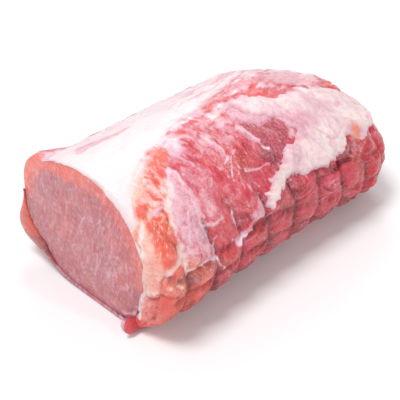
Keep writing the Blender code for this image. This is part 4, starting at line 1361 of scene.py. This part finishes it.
# %% The under layer and its front
def make_under():
    """The under layer: flat where it rests, with its relief only where it is clear of the floor."""
    run, share, angle = layer_grid(UNDER_STEP, np.linspace(3, 4, 150))
    angle = angle - 0.6 * fade(3.95, 4, share)
    fields = skin_fields(run, angle)
    off_floor = fade(0.3 * MM, 4 * MM, outer_form(run, angle)[..., 2])
    out = relief(run, angle, fields) * off_floor * fade(4, 3.97, share) * fade(0, 1.5 * MM, run)
    depth = under_skin(run, angle) - out + LAP_DIP * (run > END_JOINT)
    thinned = fade(3.06, 3, share) * fade(6 * MM, 14 * MM, run)
    skin, below = on_the_eye(run, angle, depth, thinned)
    front = under_front(skin[0], below[0], angle[0])
    # Painted shade: the front rows darken below the flap, where the layer turns under.
    shifts = {"deep": 0.4 * hill(angle[0], 218, 14)}
    return fronted_mesh("under_layer_flesh", front, skin, below, 8, run, angle, fields, shifts)


under_meat = meat("under_layer_meat", rose=srgb(200, 64, 78), rose_light=srgb(214, 84, 96),
                  salmon=srgb(240, 84, 58), threads=0.3, fibres=0.14)
add_piece("under_layer_flesh", make_under(), under_meat, "under_layer")

# %% [markdown]
# ## The end muscle
#
# A darker muscle closes the far end. Its grid runs all round the roast and shrinks to a single point at
# the tip, so the rows stay closed by themselves and the weld joins the last row into that point.

# %% The end muscle
END_STEP = 0.62 * MM


def make_end():
    """The end muscle: rings round the roast whose fields grow alike towards the tip."""
    rows = rows_from(END_JOINT, TIP, END_STEP)
    run, angle = np.meshgrid(rows, SIDE_LOW + np.linspace(0, 360, 381), indexing="ij")
    fields = skin_fields(run, angle)
    for kind in fields:
        grid = fields[kind].reshape(run.shape)
        grid[:, -1] = grid[:, 0]
        grid += (grid[-1].mean() - grid) * fade(TIP - 9 * MM, TIP, run)
    out = relief(run, angle, fields) * fade(0.3 * MM, 4 * MM, outer_form(run, angle)[..., 2])
    skin = layer_point(run, angle, net_marks(run, angle) + joint_groove(run, angle) - out)
    skin[..., 2] = np.maximum(skin[..., 2], 0)
    skin[-1] = skin[-1].mean(axis=0)
    skin[:, -1] = skin[:, 0]
    below = eye_point(run, angle, eye_depth(run, angle), CREASE)
    below[-1] = below[-1].mean(axis=0)
    below[:, -1] = below[:, 0]
    picked = picked_rows(len(rows), 8)
    return layer_mesh("end_muscle_flesh", skin, below[picked], picked, run, angle, fields, ring=True)


end_meat = meat("end_muscle_meat", rose=srgb(200, 24, 46), rose_light=srgb(214, 44, 64), fibres=0.1)
add_piece("end_muscle_flesh", make_end(), end_meat, "end_muscle")

# %% [markdown]
# ## The fat over the far end
#
# A torn sheet of softer fat wraps the end and reaches forward in two arms. Its outline is a closed curve
# on the unrolled skin, roughened by a cloud. The sheet is filled with flat triangles there and then laid
# on the muscle, thick in the middle and rounded down to its edge, with small lobes and folds.

# %% What the torn fat shows
END_FAT_OUTLINE = (
    (74.5, 17), (77.5, 14.2), (81, 16), (85.5, 18.5), (90.5, 22.5), (96, 26), (108, 22), (134, 20.5),
    (147, 33), (160, 31), (183, 40), (192, 54), (184, 68), (160, 75), (134, 73), (116, 73), (104, 83),
    (90, 86), (95, 70),
    (108, 57), (110, 46), (96, 41), (91.5, 36.5), (86, 32), (80.5, 28), (75.5, 23.5),
)
END_FAT_UNDER, END_FAT_THICK, END_FAT_EDGE, END_FAT_SLOPE = 0.6 * MM, 1.3 * MM, 0.12 * MM, 5 * MM
END_FAT_CELL = 0.75 * MM
TORN_SHIFT, TORN_TEARS = 2.1 * MM, 1.3 * MM
# The wide lilac patches in the first six rows are painted shade on the fat, and partly the muscle showing
# through it; the thin lilac strands are the muscle under the sheet.
END_FAT_MARKS = read_marks("""
    cool 0.7 | 0 4 0 | 124 65, 138 62, 143 58, 132 54, 122 58
    cool 1 pale 0.74 | 0 3.5 -0.4 | 136 66, 148 66, 158 58, 152 51, 143 53, 134 60
    cool 1 | 0 3 -0.3 | 110 57, 121 54, 126 45, 116 39, 110 44
    cool 1 pale 0.66 | 0 2.5 -0.5 | 98 43, 106 41, 107.6 35, 103 29, 98 29, 98 36
    cool 1 pale 0.68 | 0 3 0 | 121 56, 130 56, 137 52, 131 45, 121 48
    cool 0.8 | 0 3 -0.3 | 108 43, 115 41, 118 46, 125 48, 118 54, 110 52
    pale 0.5 | 0 3.5 0 | 106 44, 113 42, 122 50, 124 56, 116 61, 106 58
    pale 0.24 | 1 0.9 -0.3 | 109 60, 114 54, 117 47
    pale 0.24 | 0.9 0.9 -0.3 | 113 61, 119 55, 122 48
    pale 0.28 | 0.8 0.8 -0.3 | 108 54, 111 48, 114 43
    cool 0.9 | 0 2.5 0.7 | 96 41, 102 40, 105 36, 101 31, 94 31, 92 38
    pale 0.8 | 0 3 -0.3 | 76 14, 86 18, 94 27, 94 36, 88 32, 80 23
    cool 0.1 | 0 3 0 | 74 11, 86 15, 94 25, 93 34, 86 33, 76 23
    cool 0 | 0 1.5 1.4 | 171 46, 182 46, 181 38, 172 34, 168 38
    cool 0 | 0 4 0 | 137 47, 150 43, 153 33, 145 30, 133 23, 121 24, 119 32, 126 42
    cool 0 | 0 3 0 | 162 62, 170 53, 168 41, 158 41, 156 52
    warm 1 pale 0.2 | 0 1.6 -0.3 | 156 41, 161.5 41.5, 161 36, 157.5 30, 152 31, 154 35.5
    pale 0.62 cool 0.62 | 0.9 0.9 -0.5 | 137.6 49.7, 134.5 41.3, 129.8 31.1
    pale 0.62 cool 0.62 | 0.9 0.9 -0.5 | 158.2 44.8, 143.4 38, 132.5 34.6
    pale 0.62 cool 0.62 | 0.8 0.9 -0.4 | 109.6 35.7, 108.1 29.8, 103 25.7
    pale 0.62 cool 0.62 | 0.9 0.9 -0.4 | 184 76, 170 61, 173 51
    pale 0.72 | 1.4 1.2 -0.3 | 112 60, 122 52, 128 47
    pale 0.7 cool 0.7 | 0.9 1 -0.5 | 115.6 48, 118.7 39, 122 31
    pale 0.7 cool 0.7 | 0.9 1 -0.5 | 141 54, 140 45, 138 35
    pale 0.75 cool 0.75 | 1 1 -0.5 | 128 67, 143 65.7, 160 67
    pale 0.7 cool 0.7 | 0.9 1 -0.4 | 104 33, 106 28, 108 24
    pale 0.7 cool 0.7 | 0.9 1 -0.4 | 126 44, 132 36, 134 28
    pale 0.8 | 1.2 1 -0.3 | 135 40, 142 44, 150 42
    pale 0.55 | 2.5 2 0 | 96 84, 104 78, 112 70, 112 62
""", DEGREE_MM)
print("the torn fat has", len(END_FAT_MARKS), "marks")

# %% The sheet's torn outline
def filled_outline(outline, cell):
    """Flat triangles inside the outline, on a regular grid of points that keeps clear of its sides."""
    low, high = outline.min(axis=0), outline.max(axis=0)
    grid = np.stack(np.meshgrid(np.arange(low[0], high[0], cell), np.arange(low[1], high[1], cell)), -1)
    grid = grid.reshape(-1, 2)
    grid = grid[distance_to(grid, outline, True) < -0.6 * cell]
    count = len(outline)
    sides = [(number, (number + 1) % count) for number in range(count)]
    flat = [Vector(point) for point in np.concatenate([outline, grid])]
    points, _, faces, *_ = geometry.delaunay_2d_cdt(flat, sides, [], 1, 1e-7)
    return np.array([tuple(point) for point in points]), np.array(faces)


def torn_outline():
    """The outline in metres on the skin, in short steps, each point shifted by two clouds."""
    corners = np.array(END_FAT_OUTLINE, float) * (MM, math.radians(1) * SKIN_RADIUS)
    line = bent_line(corners, closed=True)
    ahead = np.roll(line, -1, axis=0)
    shares = np.linspace(0, 1, 7)[:-1, None, None]
    line = (line + (ahead - line) * shares).transpose(1, 0, 2).reshape(-1, 2)
    spot = flat_place(*line.T)
    shift = np.stack([cloud(spot, 6 * MM, 91, 4), cloud(spot, 6 * MM, 92, 4)], -1)
    tears = np.stack([cloud(spot, 2.1 * MM, 89, 2), cloud(spot, 2.1 * MM, 90, 2)], -1)
    return line + TORN_SHIFT * shift + TORN_TEARS * tears

# %% The sheet's colours and its shape
def fat_fields(run, angle, edge):
    """Fields of the torn fat: pinker towards its edge, and in its folds as painted shade, with lilac clouds.
    """
    skin = skin_place(run, angle)
    folds = hill(cloud(skin, 8 * MM, 98, 3), 0, 0.07) + 0.7 * hill(cloud(skin, 5 * MM, 100, 2), 0, 0.05)
    pale = 0.94 - 0.4 * fade(3 * MM, 0, edge) - 0.2 * fade(0.1, 0.9, cloud(skin, 8 * MM, 93, 3))
    # The folds sink the sheet, and their pinker colour is painted shade.
    fields = {
        "pale": pale - 0.2 * folds,
        "warm": 0.3 + 0.35 * cloud(skin, 15 * MM, 94, 2),
        "deep": 0.0 * run,
        "cool": 0.3 + 0.7 * fade(0.0, 0.6, cloud(skin, 12 * MM, 99, 3)),
        "lift": -0.42 * MM * folds,
    }
    paint(fields, np.stack([run / MM, angle * DEGREE_MM], -1), END_FAT_MARKS)
    return settled(fields, streaks(run, angle, -30, 7 * MM, 1.3 * MM, 95))


def make_end_fat():
    """The sheet: it lies close on the muscle at its edge and bridges the grooves further in."""
    outline = torn_outline()
    flat, faces = filled_outline(outline, END_FAT_CELL)
    run, angle = flat[:, 0], np.degrees(flat[:, 1] / SKIN_RADIUS)
    edge = -distance_to(flat, outline, True)
    inner = fade(0, 10 * MM, edge)
    inside = np.clip(edge / END_FAT_SLOPE, 0, 1)
    thick = END_FAT_EDGE + (END_FAT_THICK - END_FAT_EDGE) * np.sqrt(1 - (1 - inside) ** 2)
    fields, skin = fat_fields(run, angle, edge), skin_place(run, angle)
    lobes = 0.9 * np.abs(cloud(skin, 11 * MM, 96, 2)) + 0.34 * cloud(skin, 3 * MM, 97, 2)
    lobes = lobes + 0.3 * np.abs(fields["grain"])
    thick = thick + (lobes * MM + fields["lift"]) * fade(0, 3 * MM, edge)
    lies = net_marks(run, angle) + joint_groove(run, angle) - relief(run, angle, skin_fields(run, angle))
    base = lies + (0.3 * net_marks(run, angle) - lies) * inner
    top = layer_point(run, angle, base - thick)
    under = layer_point(run, angle, lies + END_FAT_UNDER)
    count = len(flat)
    edges = np.concatenate([faces[:, [0, 1]], faces[:, [1, 2]], faces[:, [2, 0]]])
    keys, back = edges[:, 0] * count + edges[:, 1], edges[:, 1] * count + edges[:, 0]
    start, end = edges[~np.isin(back, keys)].T
    rim = [np.stack([end, start, start + count], -1), np.stack([end, start + count, end + count], -1)]
    every = np.concatenate([faces, faces[:, ::-1] + count, *rim])
    fields = {kind: np.concatenate([values, values]) for kind, values in fields.items()}
    points, uv = np.concatenate([top, under]), np.concatenate([flat, flat])
    return make_mesh("end_fat_sheet", points, every, uv, fields)


cream_fat = meat("cream_end_fat", rose=srgb(232, 130, 128), rose_light=srgb(240, 160, 152),
                 salmon=srgb(246, 140, 104), fat=srgb(253, 230, 226), roughness=0.32, scatter=0.3,
                 threads=0.0, fibres=0.2)
add_piece("end_fat_sheet", make_end_fat(), cream_fat, "end_fat")

# %% [markdown]
# ## Floor, light and camera
#
# The roast is shown as in a packshot, on a pale floor, so the fat is nearly as bright as what lies round
# it. The floor is one large square a hair below the roast, and dull, so that it mirrors nothing.

# %% The floor
FLOOR_SIZE, FLOOR_GAP = 6.0, 0.02 * MM


def make_floor():
    """A large square just under the roast."""
    half = FLOOR_SIZE / 2
    mesh = bpy.data.meshes.new("floor")
    corners = [(-half, -half), (half, -half), (half, half), (-half, half)]
    mesh.from_pydata([(x, y, -FLOOR_GAP) for x, y in corners], [], [(0, 1, 2, 3)])
    floor = place_object("floor", mesh)
    looks = {"Base Color": srgb(246, 246, 247), "Roughness": 0.9, "Specular IOR Level": 0.1}
    pale, _ = new_material("pale_floor", looks)
    mesh.materials.append(pale)


make_floor()
print("the floor is", FLOOR_SIZE, "m wide")

# %% [markdown]
# The key light is large and stands above the roast, so the fat gets no hard edge of shade. A small light
# on the right gives the wet meat its glints, and two wide, weak ones and a pale sky open the shadows.

# %% The lights
WORLD_STRENGTH = 0.46
LIGHTS = (
    # name, power in watts, size, place, all in metres
    ("key_light", 14.2, 0.5, (-0.5, 0.1, 1.5)),
    ("glint_light", 4.0, 0.12, (0.2, -1.4, 1.3)),
    ("fill_light", 5.0, 1.2, (-0.9, -1.6, 1.0)),
    ("back_light", 5.0, 0.6, (0.8, 0.9, 1.1)),
)


def make_lights():
    """Large soft squares of light that look at the roast, and a pale sky round it."""
    world = bpy.data.worlds.new("white_room")
    bpy.context.scene.world = world
    world.use_nodes = True
    world.node_tree.nodes["Background"].inputs["Color"].default_value = (1, 1, 1, 1)
    world.node_tree.nodes["Background"].inputs["Strength"].default_value = WORLD_STRENGTH
    for name, power, size, place in LIGHTS:
        light = bpy.data.lights.new(name, "AREA")
        light.energy = power
        light.size = size
        lamp = place_object(name, light)
        lamp.location = place
        lamp.rotation_euler = Vector(place).to_track_quat("Z", "Y").to_euler()


make_lights()
print("the lights give", sum(light[1] for light in LIGHTS), "watts in all")

# %% [markdown]
# The camera was fitted to the outline of the roast in its photo: from the right and from above, with a
# long lens, so the far end is only a little smaller than the cut. The colours are shown plainly, with no
# film look, because the fat would turn grey under one.

# %% The camera
CAMERA_AZIMUTH, CAMERA_ELEVATION, CAMERA_DISTANCE = -45.36, 36.26, 551.06 * MM
CAMERA_TARGET = Vector((-15.64, -1.5, 24.88)) * MM
CAMERA_SENSOR, CAMERA_LENS, CAMERA_NEAR = 36, 90, 0.01


def make_camera():
    """The camera looks at the target from an azimuth, an elevation and a distance."""
    azimuth, elevation = math.radians(CAMERA_AZIMUTH), math.radians(CAMERA_ELEVATION)
    back = Vector((math.sin(azimuth) * math.cos(elevation), -math.cos(azimuth) * math.cos(elevation),
                   math.sin(elevation)))
    data = bpy.data.cameras.new("camera")
    data.sensor_width, data.lens, data.clip_start = CAMERA_SENSOR, CAMERA_LENS, CAMERA_NEAR
    camera = place_object("camera", data)
    camera.location = CAMERA_TARGET + back * CAMERA_DISTANCE
    camera.rotation_euler = back.to_track_quat("Z", "Y").to_euler()
    bpy.context.scene.camera = camera


make_camera()
bpy.context.scene.view_settings.view_transform = "Standard"
print("the camera stands", round(CAMERA_DISTANCE / MM), "mm from its target")
